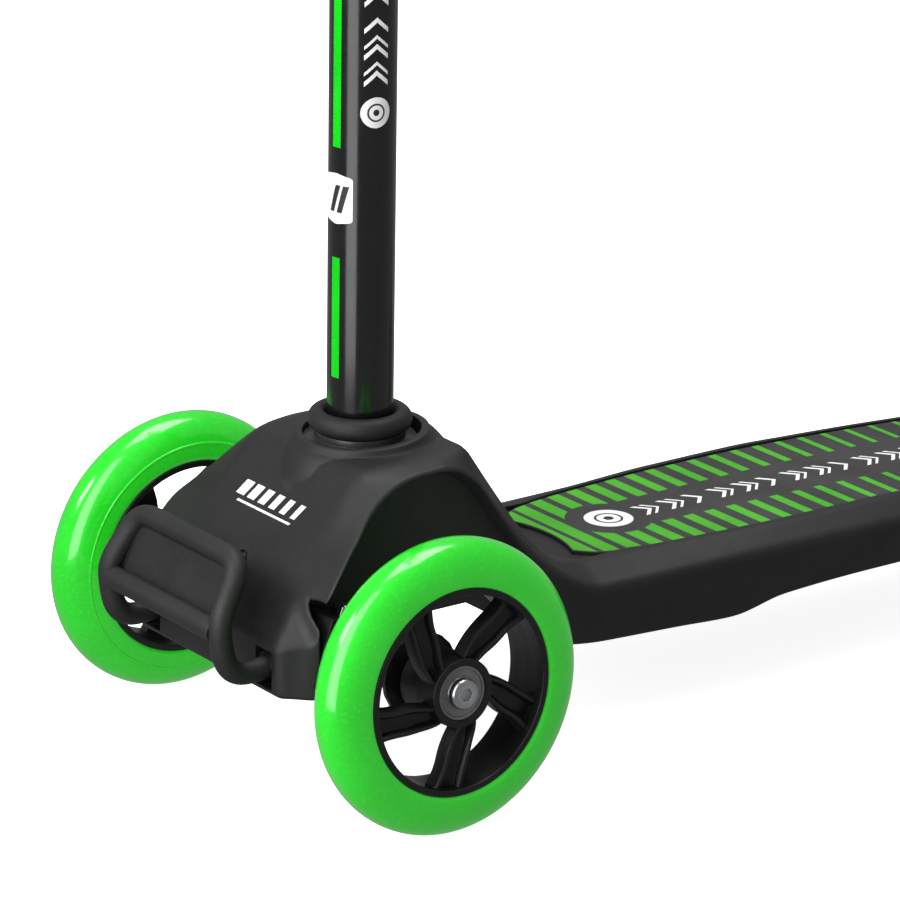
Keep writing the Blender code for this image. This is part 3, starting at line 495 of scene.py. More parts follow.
def monotone(column):
    """Slopes of a smooth curve through one column that never overshoots."""
    ys = [row[0] for row in SECTIONS]
    values = [row[column] for row in SECTIONS]
    rates = [(b - a) / (q - p) for a, b, p, q in zip(values, values[1:], ys, ys[1:])]
    slopes = [rates[0], rates[1]]
    for i in range(2, len(rates)):
        left, right = rates[i - 1], rates[i]
        slopes.append(0.0 if left * right <= 0 else 2 * left * right / (left + right))
    return slopes + [rates[-1]]


SLOPES = [monotone(column) for column in range(1, 7)]


def section_at(y):
    """Shell section at any y."""
    y = min(max(y, SECTIONS[0][0]), SECTIONS[-1][0])
    index = max(i for i in range(len(SECTIONS) - 1) if SECTIONS[i][0] <= y)
    one, two = SECTIONS[index], SECTIONS[index + 1]
    span = two[0] - one[0]
    t = (y - one[0]) / span
    values = [y]
    for column in range(1, 7):
        if index == 0:
            values.append(one[column] + (two[column] - one[column]) * t)
            continue
        m0, m1 = SLOPES[column - 1][index] * span, SLOPES[column - 1][index + 1] * span
        value = one[column] * (2 * t ** 3 - 3 * t ** 2 + 1) + m0 * (t ** 3 - 2 * t ** 2 + t)
        values.append(value + two[column] * (3 * t ** 2 - 2 * t ** 3) + m1 * (t ** 3 - t ** 2))
    return values


def eased(value, low, high, at_low, at_high):
    t = min(max((value - low) / (high - low), 0.0), 1.0)
    return at_low + (at_high - at_low) * t * t * (3 - 2 * t)


def corner_arc(before, here, after, radius, count=6):
    return soften([before, here, after], radius, closed=False, count=count)[1:-1]


def line(one, two, count):
    return [tuple(Vector(one).lerp(Vector(two), k / count)) for k in range(1, count)]


def fine_ring(y, inset=0.0):
    """Dense outline of the shell's section, with its corners rounded."""
    _, low, foot, side, waist, top, high = section_at(y)
    low += inset
    high -= inset
    foot, waist, top = foot - inset, waist - inset, top - inset
    ridge = eased(y, 70.0, 112.0, 4.0, 2.0)
    waist_round = eased(y, 60.0, 112.0, 1.6, 4.5)
    points = [(0.0, low), (foot, low), (waist, side), (top, high), (0.0, high)]
    radii = (0, 1.8, waist_round, ridge, 0)
    counts = (3, 4, 4, 6)
    arcs = [[points[0]]]
    for i in (1, 2, 3):
        arcs.append(corner_arc(points[i - 1], points[i], points[i + 1], radii[i]))
    arcs.append([points[4]])
    half = []
    for i, (one, two) in enumerate(zip(arcs, arcs[1:])):
        half += one + line(one[-1], two[0], counts[i])
    half += arcs[-1]
    outline = half + [(-x, z) for x, z in reversed(half[1:-1])]
    return [(x, y, z) for x, z in outline]


def shell_rings():
    rings = [
        fine_ring(-48.0 + 2.4 * (1 - math.cos(math.pi / 2 * k / 5)),
                  2.4 * (1 - math.sin(math.pi / 2 * k / 5)))
        for k in range(6)
    ]
    spots = [-44.5 + 1.7 * i for i in range(6)] + [-36.0 + 2.0 * i for i in range(75)]
    spots += [116.0 + 4.0 * i for i in range(88)]
    rings += [fine_ring(y) for y in spots if -45.0 < y < 466.0]
    rings += [
        fine_ring(468.0 - 2.0 * (1 - math.sin(math.pi / 2 * k / 4)),
                  2.0 * (1 - math.cos(math.pi / 2 * k / 4)))
        for k in range(5)
    ]
    return rings


ARCH = [
    (-35.0, 66.0), (-35.0, 76.0), (-34.4, 84.0), (-32.0, 89.8), (-25.5, 98.0), (-18.1, 104.4),
    (-11.5, 109.8), (-5.6, 115.2), (1.6, 120.3), (6.7, 123.3), (14.0, 125.9), (23.0, 127.1),
    (34.0, 127.2), (42.0, 125.4), (47.5, 122.0), (52.6, 117.2), (58.0, 110.5), (66.0, 99.5),
    (76.0, 86.0), (84.0, 74.0), (88.0, 60.0),
]


def wheel_arch(side):
    """Room for a front wheel, whose roof drops a little towards the middle."""
    edge = flow(ARCH, 4) + [(88.0, 30.0), (-35.0, 30.0)]
    inner = [(20.0 + (y - 20.0) * 0.955, 60.0 + (z - 60.0) * 0.955) for y, z in edge]
    stations = [(38.0, inner), (45.0, edge), (75.0, edge)]
    return loft([[(side * x, y, z) for y, z in outline] for x, outline in stations])


def latch_boss(place):
    """Seat of the latch spring, cut off just under the sloping front."""
    mesh = plain_rod(9.0, -40.0, -25.0, place)
    everything = mesh.verts[:] + mesh.edges[:] + mesh.faces[:]
    bmesh.ops.bisect_plane(
        mesh, geom=everything, plane_co=(0, -48, 71.0), plane_no=(0, -1.194, 1), clear_outer=True,
    )
    bmesh.ops.holes_fill(mesh, edges=mesh.edges[:])
    return mesh


def drop(y):
    """How far the deck's top has bent down at y."""
    past = y - BEND_Y
    return BEND_SLOPE * (past + math.hypot(past, 18.0)) / 2


def mat_half(inset, nose):
    stations = [
        (134.0, 33.6), (150.0, 36.4), (183.0, 39.2), (208.0, 40.6), (255.0, 41.1),
        (290.0, 40.4), (320.0, 38.9), (350.0, 36.4), (375.0, 33.0), (390.0, 27.0),
    ]
    half = nose + [(x, y) for y, x in stations] + [(20.0, 396.0)]
    return [(x - inset, y) for x, y in flow(half, 4)]


def both_sides(half):
    return half + [(-x, y) for x, y in reversed(half)]


def bent_layer(outline, low, high):
    mesh = prism(outline, low, high, Matrix.Translation((0, 0, RIM_Z)))
    for y in range(220, 396, 8):
        everything = mesh.verts[:] + mesh.edges[:] + mesh.faces[:]
        bmesh.ops.bisect_plane(mesh, geom=everything, plane_co=(0, y, 0), plane_no=(0, 1, 0))
    for corner in mesh.verts:
        corner.co.z -= drop(corner.co.y)
    return mesh


def cavity(start, stop, reach):
    """One run of the hollow underside."""
    spots = [start + (stop - start) * i / 12 for i in range(13)]
    rings = []
    for y in spots:
        _, _, foot, side, waist, top, high = section_at(y)
        widths = [foot - 3.4, waist - 3.4, top - 3.4]
        if reach is not None:
            widths = [min(width, 29.0 if y < -36.5 else reach) for width in widths]
        high -= 3.4 + (3.0 if high > 125.0 else 1.0)
        half = [(0.0, 20.0), (widths[0], 20.0), (widths[1], side - 1.4), (widths[2], high), (0.0, high)]
        rings.append([(x, y, z) for x, z in half + [(-x, z) for x, z in reversed(half[1:-1])]])
    return loft(rings)


def king_frame(x):
    return Matrix.Translation((x, KING_Y, KING_Z)) @ Matrix.Rotation(-KING_TILT, 4, "X")


def deck_shell():
    shell = to_object("deck_housing", loft(shell_rings()))
    ring_axis = along((0, STEM_Y + 1.4, 134.3), (0, -math.sin(math.radians(3)), 1))
    ring = [(0.0, -14.0), (37.0, -14.0), (33.6, -8.4), (30.2, -4.2), (28.2, -2.4), (27.3, -1.0)]
    ring = flow(ring[1:], 4) + [(26.9, -0.2), (26.2, 0.1), (25.2, 0.2), (0.0, 0.2)]
    latch = along((0, 0, LATCH_Z), (0, 1, 0))
    runs = [(-43.5, 86.0, 34.6), (112.0, 197.0, None), (200.0, 285.0, None), (288.0, 373.0, None)]
    stem = along((0, STEM_Y, 0), (0, 0, 1))
    bed = both_sides(mat_half(-0.6, [(22.0, 97.0), (31.0, 105.0), (34.4, 117.0)]))
    sides = (-1, 1)
    bosses = [block((s * 22 - 7, -35, 70), (s * 22 + 7, -6, 86)) for s in sides]
    pockets = [block((s * 40 - 5.6, -55, 52), (s * 40 + 5.6, -37, 68)) for s in sides]
    lever = along((0, LEVER_Y, LEVER_Z), (1, 0, 0))
    pins = [plain_rod(2.3, *sorted(s * x for x in PIN_BORE), lever) for s in sides]
    screws = [plain_rod(1.7, 8.0, 23.5, king_frame(s * 22.0)) for s in sides]
    axle = along((0, REAR_Y, 40.0), (1, 0, 0))
    brake = along((0, 412, 60), (1, 0, 0))
    slot = soften([(-14.0, 406.0), (14.0, 406.0), (14.0, 480.0), (-14.0, 480.0)], 3.0)
    return carve(shell, [
        ("UNION", [turned([(0.0, -14.0)] + ring, ring_axis, 96)]),
        ("DIFFERENCE", [cavity(*run) for run in runs]),
        ("DIFFERENCE", [wheel_arch(side) for side in (-1, 1)]),
        ("UNION", bosses + [latch_boss(latch)]),
        ("DIFFERENCE", [block((-70, -34.9, 20), (70, 86, 66))]),
        ("DIFFERENCE", [block((-70, -14.5, -14.7), (70, 12.0, 14.4), king_frame(0.0))]),
        ("DIFFERENCE", [bent_layer(bed, -MAT_THICK - MAT_DROP, 6.0)]),
        ("DIFFERENCE", [plain_rod(24.1, 129.6, 150.0, along((0, STEM_Y + 1, 0), (0, 0, 1)), 96)]),
        ("DIFFERENCE", [plain_rod(17.1, 100.0, 150.0, stem, 72)]),
        ("DIFFERENCE", pockets + screws),
        ("DIFFERENCE", pins + [plain_rod(4.3, -60.0, 0.0, latch)]),
        ("DIFFERENCE", [prism(slot, 10.0, 90.0, Matrix.Identity(4))]),
        ("DIFFERENCE", [plain_rod(4.3, -40.0, 40.0, axle), plain_rod(2.3, -50.0, 33.0, brake)]),
    ])


def mat_edge(y):
    """Half-width of the grip mat at y."""
    half = mat_half(0.35, MAT_NOSE)
    for (x0, y0), (x1, y1) in zip(half, half[1:]):
        if y0 <= y <= y1:
            return x0 + (x1 - x0) * (y - y0) / (y1 - y0)
    return half[-1][0]


MAT_NOSE = [(20.0, 114.0), (26.0, 120.0), (30.6, 125.0)]
DISC_Y = 154.0
RING_R = 18.5


def grip_mat():
    sheet = bent_layer(both_sides(mat_half(0.0, MAT_NOSE)), 0.02 - MAT_DROP - MAT_THICK, -MAT_DROP)
    mat = to_object("grip_sheet", sheet)
    carve(mat, [("DIFFERENCE", [plain_rod(57.0, 60.0, 80.0, along((0, 65.0, 0), (0, 0, 1)), 240)])])
    ease = mat.modifiers.new("ease", "BEVEL")
    ease.width = 0.35 * MM
    ease.segments = 2
    ease.limit_method = "ANGLE"
    ease.angle_limit = math.radians(50.0)
    return dress(mat, MAT, ["grip_mat"])


def stripe_outline(index, side):
    """One printed bar, from the mat's edge in to the clear band along the middle."""
    step = index - 1
    middle = 121.4 if index == 0 else 130.9 + 10.25 * step + 0.088 * step * step
    half = (7.1 - 0.245 * index) / 2
    low, high = middle - half, middle + half

    def inner(y):
        if index < 2:
            return 0.0
        across = RING_R ** 2 - (DISC_Y - y) ** 2
        rest = 15.2 + 0.02 * (y - 183.0) if y > DISC_Y else 0.0
        return max(rest, math.sqrt(across) if across > 0 else 0.0, 1.0)

    spots = [low + (high - low) * k / 6 for k in range(7)]
    outer = [(side * (mat_edge(y) - 0.2), y) for y in spots]
    if index == 0:
        reach = [k / 6 for k in range(7)]
        front = [(22.4 * t, 65.0 + math.sqrt(57.5 ** 2 - (22.4 * t) ** 2)) for t in reach]
        front = [(side * x, y) for x, y in front]
        rim = [(side * (mat_edge(y) - 0.3), y) for y in (119.0, 121.0, 123.0, high)]
        return front + rim + [(0.0, high)]
    return outer + [(side * inner(y), y) for y in reversed(spots)]


def circle(radius, centre=(0.0, 0.0), count=48):
    turns = [math.tau * k / count for k in range(count)]
    return [(centre[0] + radius * math.cos(t), centre[1] + radius * math.sin(t)) for t in turns]


def ring_pieces(inner, outer, centre=(0.0, 0.0), count=48):
    turns = [math.tau * k / count for k in range(count + 1)]
    spots = [(math.cos(t), math.sin(t)) for t in turns]
    cx, cy = centre
    return [
        [(cx + c0 * inner, cy + s0 * inner), (cx + c0 * outer, cy + s0 * outer),
         (cx + c1 * outer, cy + s1 * outer), (cx + c1 * inner, cy + s1 * inner)]
        for (c0, s0), (c1, s1) in zip(spots, spots[1:])
    ]


def chevron(centre, reach, half, thick):
    """Arrow-shaped band in two limbs, pointing along +V."""
    cx, cy = centre
    return [
        [(cx, cy + reach), (cx + side * half, cy), (cx + side * half, cy - thick), (cx, cy + reach - thick)]
        for side in (-1, 1)
    ]


def mat_prints(mat):
    top = Matrix.Identity(4) @ Matrix.Translation((0, 0, 60.0))
    bars = [stripe_outline(index, side) for index in range(24) for side in (-1, 1)]
    bars = [bar for bar in bars if max(y for _, y in bar) < 392.0]
    decal("mat_stripes", bars, top, mat, INK_GREEN, "chassis", 0.06, 8.0)
    disc = decal("mat_disc", [circle(10.5, (0.0, DISC_Y))], top, mat, WHITE, "chassis", 0.07, 8.0)
    decal("mat_disc_mark", ring_pieces(5.2, 6.2, (0.0, DISC_Y)) + [circle(2.2, (0.0, DISC_Y), 24)],
          top, disc, DARK_INK, "chassis", 0.05, 8.0)
    marks = []
    for k in range(15):
        marks += chevron((0.0, 172.0 + 13.6 * k), 5.2, 5.8, 2.2)
        if k % 3 == 2:
            continue
        marks += chevron((0.0, 175.9 + 13.6 * k), 5.2, 5.8, 1.5)
    decal("mat_arrows", marks, top, mat, WHITE, "chassis", 0.07, 8.0)


def housing_print(shell):
    up_slope = Vector((0.0, 1.0, 1.194)).normalized()
    out = Vector((0.0, -1.194, 1.0)).normalized()
    place = Matrix((
        (1, 0, 0, -3.0), (0, up_slope.y, out.y, -16.6), (0, up_slope.z, out.z, 112.2), (0, 0, 0, 1),
    ))
    bars = []
    for k in range(6):
        left = -22.0 + 7.6 * k
        width = 5.4 - 0.45 * k
        bars.append([(left, -3.4), (left + width, -3.4), (left + width + 2.2, 3.4), (left + 2.2, 3.4)])
    bars.append([(-19.0, -6.3), (18.0, -6.3), (18.4, -5.3), (-18.6, -5.3)])
    decal("housing_bars", bars, place, shell, WHITE, "chassis", 0.06, 2.0)


# Wheels -------------------------------------------------------------------

def tyre_profile(seat, round_from, outer, half, bulge=2.2, count=40):
    crown = []
    for i in range(count + 1):
        angle = math.pi * i / count
        share = abs(math.cos(angle)) ** (2 / bulge)
        rise = max(0.0, math.sin(angle)) ** (2 / bulge)
        height = math.copysign(half * share, -math.cos(angle))
        crown.append((round_from + (outer - round_from) * rise, height))
    return crown + [(round_from - 0.9, half - 0.15), (seat, half - 0.9), (seat, -half + 0.9),
                    (round_from - 0.9, -half + 0.15)]


def wheel_axis(side):
    return Vector((side * math.cos(CAMBER), 0.0, math.sin(CAMBER)))


def wheel_centre(side):
    return Vector((side * WHEEL_X, 0.0, 44.0 * math.cos(CAMBER) + 16.0))


SPOKE_PATH = [(12.6, -25.5), (18.5, -14.5), (25.0, -7.0), (33.0, -2.5), (40.3, 0.4)]
SPOKE_WIDTH = [0.62, 0.86, 1.0, 1.0, 1.22]


def spoke(place, turn):
    """Curved spoke with two raised edges and a groove between them."""
    knots = [(r, lag, wide) for (r, lag), wide in zip(SPOKE_PATH, SPOKE_WIDTH)]
    run = flow(knots, 5)
    middle = []
    for radius, lag, _ in run:
        angle = turn + math.radians(lag)
        middle.append(Vector((math.cos(angle), math.sin(angle), 0.0)) * radius)
    half = [(-6.2, 3.0), (-6.15, 5.0), (-5.9, 7.6), (-5.3, 8.8), (-4.6, 9.05), (-3.9, 8.8),
            (-3.3, 7.8), (-2.9, 6.4), (-2.2, 5.8), (-1.0, 5.6)]
    shape = half + [(-u, w) for u, w in reversed(half)]
    rings = []
    for i, here in enumerate(middle):
        ahead = middle[min(i + 1, len(middle) - 1)] - middle[max(i - 1, 0)]
        across = Vector((0, 0, 1)).cross(ahead.normalized()) * run[i][2]
        rise = eased(run[i][0], 13.0, 21.0, 1.14, 1.0)
        rings.append([place @ (here + across * u + Vector((0, 0, w * rise))) for u, w in shape])
    return loft(rings)


def front_wheel(side, name):
    place = along(wheel_centre(side), wheel_axis(side))
    turn_back = place.to_3x3().inverted()
    forward = math.atan2(*reversed((turn_back @ Vector((0, -1, 0))).xy))
    upward = math.atan2(*reversed((turn_back @ Vector((0, 0, 1))).xy))
    sense = 1.0 if math.sin(upward - forward) > 0 else -1.0
    tyre = tyre_profile(RIM_R + 0.15, 44.0, WHEEL_R, 11.5)
    dress(to_object("tyre_pu_" + name, turned(tyre, place, 160)), GREEN, ["tyre_" + name])
    inner = [(48.9, -11.1), (49.3, -11.42), (49.9, -11.4), (50.3, -11.0)]
    line_ring = turned(inner, place, 160)
    line_piece = to_object("tyre_line_" + name, line_ring)
    line_piece.data.materials.append(GREEN)
    line_piece.data.shade_smooth()
    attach(line_piece, "wheel_" + name)
    felloe = [
        (39.3, -11.2), (RIM_R, -11.2), (RIM_R, 11.2), (39.3, 11.2), (38.9, 7.0), (38.7, 0.0),
        (38.9, -7.0),
    ]
    rim = to_object("rim_cast_" + name, turned(soften(felloe, 0.7), place, 144))
    seat = 11.05
    hub = [
        (8.0, -3.6), (seat, -3.6), (seat, -11.3), (14.0, -11.3), (14.4, 0.0), (14.0, 11.3),
        (seat, 11.3), (seat, 3.6), (8.0, 3.6),
    ]
    base = place @ Matrix.Rotation(forward, 4, "Z") @ Matrix.Diagonal((1, sense, 1, 1))
    phase = math.radians(134.0)
    spokes = [spoke(base, phase + math.tau * i / 5) for i in range(5)]
    seats = [pipe(3.9, seat, start, stop, place, 0.01, 96) for start, stop in ((3.6, 20.0), (-20.0, -3.6))]
    carve(rim, [
        ("UNION", [turned(soften(hub, 0.5), place, 96)]),
        ("UNION", spokes),
        ("DIFFERENCE", seats),
    ])
    dress(rim, SATIN, ["rim_" + name], even=True)
    bearings(name, place, 7.2, 7.0)
    axle_bolt(name, place, -39.0, 11.5, -35.2)


def bearings(name, place, spread_at, width):
    for label, where in (("outer", spread_at), ("inner", -spread_at)):
        sense = 1.0 if where > 0 else -1.0
        face = width / 2
        steps = [
            (4.05, -face), (10.95, -face), (10.95, face), (9.7, face), (9.55, face - 0.5),
            (8.2, face - 0.55), (6.6, face - 0.5), (6.4, face), (4.05, face),
        ]
        profile = [(r, where + sense * h) for r, h in soften(steps, 0.22)]
        thing = to_object(f"bearing_race_{label}_{name}", turned(profile, place, 96))
        dress(thing, SHIELD, [f"bearing_{label}_{name}"])
    gap = spread_at - width / 2 - 0.1
    spacer = to_object("spacer_" + name, pipe(4.1, 6.0, -gap, gap, place))
    dress(spacer, STEEL, ["bearing_spacer_" + name])


def axle_bolt(name, place, low, high, nut_face):
    shape = [
        (0.0, low), (3.6, low), (3.98, low + 0.5), (3.98, high), (6.2, high), (6.15, high + 1.1),
        (5.6, high + 1.9), (4.4, high + 2.2), (0.0, high + 2.2),
    ]
    bolt = to_object("bolt_" + name, turned(soften(shape, 0.25, closed=False), place, 72))
    socket = plain_rod(2.9, high + 0.6, high + 4.0, place, 6)
    carve(bolt, [("DIFFERENCE", [socket])])
    dress(bolt, STEEL, ["axle_bolt_" + name], even=True)
    nut_shape = prism(circle(6.6, count=6), nut_face - 4.2, nut_face, place)
    nut = to_object("nut_" + name, nut_shape)
    carve(nut, [
        ("INTERSECT", [rod(6.55, nut_face - 4.2, nut_face, place, 0.9)]),
        ("DIFFERENCE", [plain_rod(4.02, nut_face - 9, nut_face + 9, place)]),
    ])
    dress(nut, STEEL, ["axle_nut_" + name], even=True)


def rear_wheel():
    place = along((0, REAR_Y, 40.0), (1, 0, 0))
    tyre = tyre_profile(26.15, 28.0, 40.0, 12.0)
    dress(to_object("tyre_pu_rear", turned(tyre, place, 128)), GREEN, ["tyre_rear"])
    seat = 11.05
    side = [
        (8.0, 3.6), (seat, 3.6), (seat, 11.3), (15.0, 11.3), (16.0, 4.0), (23.0, 4.0),
        (24.0, 11.4), (26.0, 11.4),
    ]
    felloe = side + [(radius, -height) for radius, height in reversed(side)]
    rim = to_object("rim_cast_rear", turned(soften(felloe, 0.5), place, 120))
    windows = []
    for i in range(5):
        turn = Matrix.Rotation(math.tau * (i + 0.1) / 5, 4, "Z")
        windows.append(plain_rod(2.7, -20, 20, place @ turn @ Matrix.Translation((19.5, 0, 0)), 32))
    carve(rim, [("DIFFERENCE", windows)])
    dress(rim, SATIN, ["rim_rear"], even=True)
    bearings("rear", place, 7.2, 7.0)
    for name, where in (("left", 1), ("right", -1)):
        ends = sorted((where * 10.75, where * 13.9))
        washer = to_object("washer_" + name, pipe(4.1, 6.4, ends[0], ends[1], place, 0.3))
        dress(washer, STEEL, ["rear_washer_" + name])
    axle_bolt("rear", place, -33.6, 27.9, -27.9)


# Latch bow ----------------------------------------------------------------

def latch_bow():
    arm = [
        (40.0, -43.5, 61.2), (40.0, -50.0, 60.0), (40.0, -55.0, 59.7), (40.0, -59.8, 60.4),
        (40.0, -63.6, 62.8), (40.0, -66.4, 67.4), (40.0, -68.0, 75.0), (40.0, -68.3, 81.5),
        (39.4, -66.6, 87.0), (38.2, -62.8, 93.4), (36.8, -59.6, 98.8), (33.6, -57.2, 102.8),
        (28.0, -56.2, 104.4), (18.0, -56.1, 104.5),
    ]
    half = flow(arm, 4)
    path = half + [(-x, y, z) for x, y, z in reversed(half)]
    bow = to_object("latch_bow", sweep(path, 4.6, 28))
    rail = [(38.0, -69.0, 79.0), (30.0, -69.4, 79.4), (0.0, -69.4, 79.4)]
    rail = flow(rail, 6)
    rail = rail + [(-x, y, z) for x, y, z in reversed(rail[:-1])]
    upright = Matrix(((0, 0, 1, 0), (1, 0, 0, 0), (0, 1, 0, 0), (0, 0, 0, 1)))
    web = [(-66.4, 79.0), (-57.9, 102.0), (-54.6, 100.4), (-63.0, 78.4)]
    eyes = []
    holes = []
    for side in (-1, 1):
        eye = along((side * 40.0, LEVER_Y, LEVER_Z), (1, 0, 0))
        eyes.append(rod(5.0, -5.1, 5.1, eye))
        holes.append(plain_rod(2.1, -9.0, 9.0, eye))
    carve(bow, [
        ("UNION", [sweep(rail, 4.7, 28)]),
        ("UNION", [prism(web, -37.0, 37.0, upright)]),
        ("UNION", eyes),
        ("DIFFERENCE", holes),
    ])
    dress(bow, RUBBER, ["latch_lever"])
    for side, name in ((1, "left"), (-1, "right")):
        eye = along((side * 40.0, LEVER_Y, LEVER_Z), (side, 0, 0))
        pin = to_object("lever_pin_fine_" + name, rod(2.0, -8.6, 8.1, eye))
        dress(pin, STEEL, ["lever_pin_" + name])


# Stem and handlebar -------------------------------------------------------

def stem_parts():
    up = along((0, STEM_Y, 0), (0, 0, 1))
    tube = to_object("stem_tube", pipe(12.0, TUBE_R, 74.0, TUBE_TOP_Z, up, 0.5, 128))
    dress(tube, TUBE, ["lower_tube"])
    collar = [
        (TUBE_R + 0.05, 134.9), (17.6, 134.9), (19.8, 135.7), (21.0, 137.4), (21.2, 139.4),
        (20.6, 141.4), (19.2, 142.9), (17.2, 143.6), (15.4, 143.3), (14.2, 142.0),
        (TUBE_R + 0.05, 140.4),
    ]
    ring = to_object("stem_cuff", turned(soften(collar, 1.4), up, 120))
    dress(ring, RUBBER, ["stem_collar"])
    socket = [
        (TUBE_R + 0.3, 70.0), (16.0, 70.0), (16.6, 70.6), (16.6, 129.95), (23.0, 129.95),
        (23.0, 131.6), (18.4, 131.8), (18.2, 134.6), (TUBE_R + 0.3, 134.6),
    ]
    sleeve = to_object("stem_sleeve", turned(soften(socket, 0.3), up, 96))
    front = along((0, 0, LATCH_Z), (0, 1, 0))
    carve(sleeve, [("DIFFERENCE", [plain_rod(4.35, -5.0, STEM_Y, front)])])
    dress(sleeve, PAINTED_SHEEN_GREY, ["stem_socket"])
    upper = to_object("stem_inner_tube", pipe(9.6, 11.1, 250.0, BAR_Z - 12.4, up, 0.3, 96))
    dress(upper, ALLOY, ["upper_tube"])
    across = along((0, STEM_Y, BAR_Z), (1, 0, 0))
    cross = to_object("bar_tube", pipe(9.6, 11.1, -BAR_HALF, BAR_HALF, across, 0.3, 96))
    dress(cross, TUBE, ["handlebar"])
    return tube


def stem_prints(tube):
    def facing(angle, z):
        turn = math.radians(angle)
        out = Vector((math.sin(turn), -math.cos(turn), 0.0))
        side = Vector((math.cos(turn), math.sin(turn), 0.0))
        return Matrix((
            (side.x, 0, out.x, out.x * 3.0), (side.y, 0, out.y, STEM_Y + out.y * 3.0),
            (0, 1, 0, z), (0, 0, 0, 1),
        ))

    stripes = [[(-2.2, 158.6), (2.2, 158.6), (2.2, 208.4), (-2.2, 208.4)],
               [(-2.2, 253.4), (2.2, 253.4), (2.2, 440.0), (-2.2, 440.0)]]
    decal("stem_stripes", stripes, facing(6.0, 0.0), tube, STEM_GREEN, "chassis", 0.05, 0.9)
    tag = soften([(-7.4, -9.0), (0.0, -10.4), (7.4, -9.0), (7.4, 9.0), (0.0, 10.4), (-7.4, 9.0)], 1.2)
    label = decal("stem_label", [tag], facing(6.0, 232.6), tube, WHITE, "chassis", 0.05, 1.2)
    slash = [[(-3.8, -5.6), (-1.2, -5.6), (2.4, 5.6), (-0.2, 5.6)],
             [(0.4, -5.6), (3.0, -5.6), (6.2, 5.6), (3.6, 5.6)]]
    decal("stem_label_mark", slash, facing(6.0, 232.6), label, DARK_INK, "chassis", 0.05, 1.2)
    side = facing(78.0, 0.0)
    disc = decal("stem_disc", [circle(6.2, (0.0, 268.4))], side, tube, WHITE, "chassis", 0.05, 1.2)
    decal("stem_disc_mark", ring_pieces(3.0, 3.7, (0.0, 268.4)) + [circle(1.3, (0.0, 268.4), 20)],
          side, disc, DARK_INK, "chassis", 0.05, 1.2)
    marks = []
    for k in range(10):
        marks += chevron((0.0, 281.0 + 10.6 * k), 4.4, 5.0, 2.0)
        if k % 3 != 2:
            marks += chevron((0.0, 284.6 + 10.6 * k), 4.4, 5.0, 1.4)
    decal("stem_arrows", marks, side, tube, WHITE, "chassis", 0.05, 1.2)


def grips():
    inner = BAR_HALF + 3.0 - 98.0
    for side, name in ((1, "left"), (-1, "right")):
        out = along((0, STEM_Y, BAR_Z), (side, 0, 0))
        body = [(11.4, inner), (18.8, inner), (19.0, inner + 3.4), (15.4, inner + 5.2)]
        count = 22
        for k in range(count):
            at = inner + 9.0 + k * 3.4
            swell = 14.7 + 0.7 * math.sin(math.pi * k / (count - 1))
            body += [(swell - 0.5, at), (swell, at + 0.7), (swell, at + 2.0), (swell - 0.5, at + 2.7)]
        tip = BAR_HALF
        body += [(14.6, tip - 4.0), (19.2, tip - 1.2), (19.2, tip + 1.4), (17.6, tip + 2.9)]
        body += [(0.0, tip + 3.0), (0.0, tip + 0.2), (11.4, tip + 0.2)]
        start = body.index((0.0, tip + 0.2))
        walk = body[start:] + body[:start]
        grip = to_object("grip_rubber_" + name, turned(soften(walk, 0.25, closed=False, count=2), out, 96))
        dress(grip, GRIP_GREEN, ["grip_" + name])


# Everything that keeps its CAD shape ---------------------------------------

def small_parts():
    satin = ["front_beam", "knuckle_left", "knuckle_right", "height_clamp", "clamp_lever"]
    satin += ["latch_pin", "latch_spring"]
    plastic = ["brake_fender", "bar_tee", "stem_plug", "tube_bush"]
    rubber = ["kingpin_bush_left", "kingpin_bush_right"]
    steel = ["tie_rod", "clamp_bolt", "clamp_pivot", "brake_pin"]
    steel += ["brake_spring", "beam_screw_left"]
    steel += ["beam_screw_right", "kingpin_left", "kingpin_right", "kingpin_nut_left"]
    steel += ["kingpin_nut_right"]
    for names, paint, bevel in ((satin, SATIN, 0.5), (plastic, HOUSING, 0.4),
                                (rubber, RUBBER, 0.3), (steel, STEEL, 0.2)):
        for name in names:
            from_cad(name, paint, bevel)


# Studio -------------------------------------------------------------------

def lamp(name, centre, target, size, power, tall=None, colour=(1.0, 1.0, 1.0)):
    light = bpy.data.lights.new(name, "AREA")
    light.shape = "RECTANGLE"
    light.size = size
    light.size_y = tall or size
    light.energy = power
    light.color = colour
    holder = bpy.data.objects.new(name, light)
    bpy.context.scene.collection.objects.link(holder)
    holder.location = centre
    holder.rotation_euler = (Vector(target) - Vector(centre)).to_track_quat("-Z", "Y").to_euler()
    holder.visible_camera = False


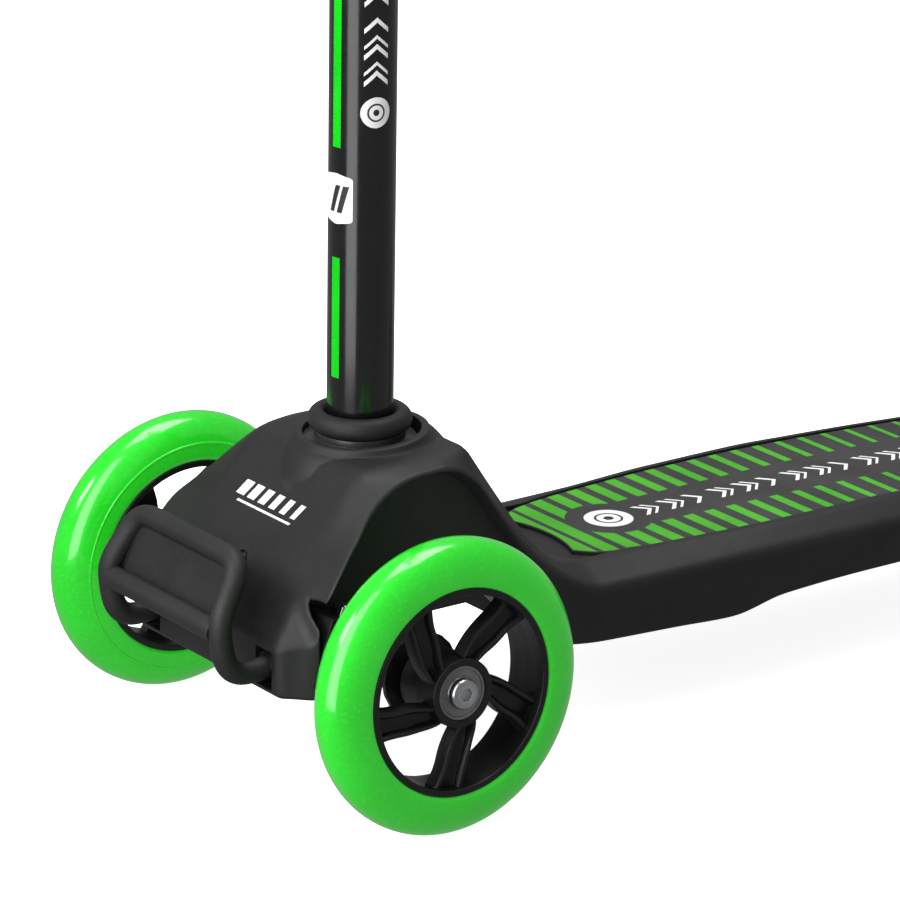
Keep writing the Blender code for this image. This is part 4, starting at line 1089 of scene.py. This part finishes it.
def studio():
    mesh = bmesh.new()
    bmesh.ops.create_grid(mesh, x_segments=1, y_segments=1, size=30.0)
    data = bpy.data.meshes.new("floor")
    mesh.to_mesh(data)
    mesh.free()
    floor = bpy.data.objects.new("floor", data)
    bpy.context.scene.collection.objects.link(floor)
    paper = material("floor_white", (0.93, 0.93, 0.93), (0.95, 0.95, 0.95), 0.9, grain=(3.0, 0.001),
                     Emission_Color=(1.0, 1.0, 1.0, 1.0), Emission_Strength=0.85)
    data.materials.append(paper)
    floor.visible_glossy = False
    floor.visible_diffuse = False
    world = bpy.data.worlds.new("studio")
    world.use_nodes = True
    background = world.node_tree.nodes["Background"]
    background.inputs["Color"].default_value = (1.0, 1.0, 1.0, 1.0)
    background.inputs["Strength"].default_value = 0.30
    bpy.context.scene.world = world
    lamp("top", (-0.2, 0.2, 2.4), (0.0, 0.0, 0.0), 1.6, 46.0)
    lamp("left_strip", (0.138, -0.56, 0.45), (0.0, -0.19, 0.45), 0.26, 2.8, 0.9)
    lamp("front", (-0.7, -2.1, 1.5), (0.0, -0.1, 0.1), 0.8, 19.0)
    bpy.context.scene.view_settings.view_transform = "Standard"


def camera():
    data = bpy.data.cameras.new("camera")
    data.lens = 198.66
    data.sensor_width = 36.0
    data.clip_start = 0.05
    data.clip_end = 60.0
    holder = bpy.data.objects.new("camera", data)
    bpy.context.scene.collection.objects.link(holder)
    a, e, r = (math.radians(value) for value in (53.58, 18.65, 0.878))
    back = Vector((math.sin(a) * math.cos(e), -math.cos(a) * math.cos(e), math.sin(e)))
    right = Vector((math.cos(a), math.sin(a), 0.0))
    up = back.cross(right)
    x_axis = right * math.cos(r) + up * math.sin(r)
    y_axis = up * math.cos(r) - right * math.sin(r)
    spin = Matrix((x_axis, y_axis, back)).transposed().to_4x4()
    holder.matrix_world = Matrix.Translation((1.5443, AXLE_Y - 1.0687, 0.7644)) @ spin
    bpy.context.scene.camera = holder


shell_piece = deck_shell()
dress(shell_piece, HOUSING, ["deck_shell"], even=True)
housing_print(shell_piece)
mat_piece = grip_mat()
mat_prints(mat_piece)
front_wheel(1, "left")
front_wheel(-1, "right")
rear_wheel()
latch_bow()
stem_prints(stem_parts())
grips()
small_parts()
studio()
camera()
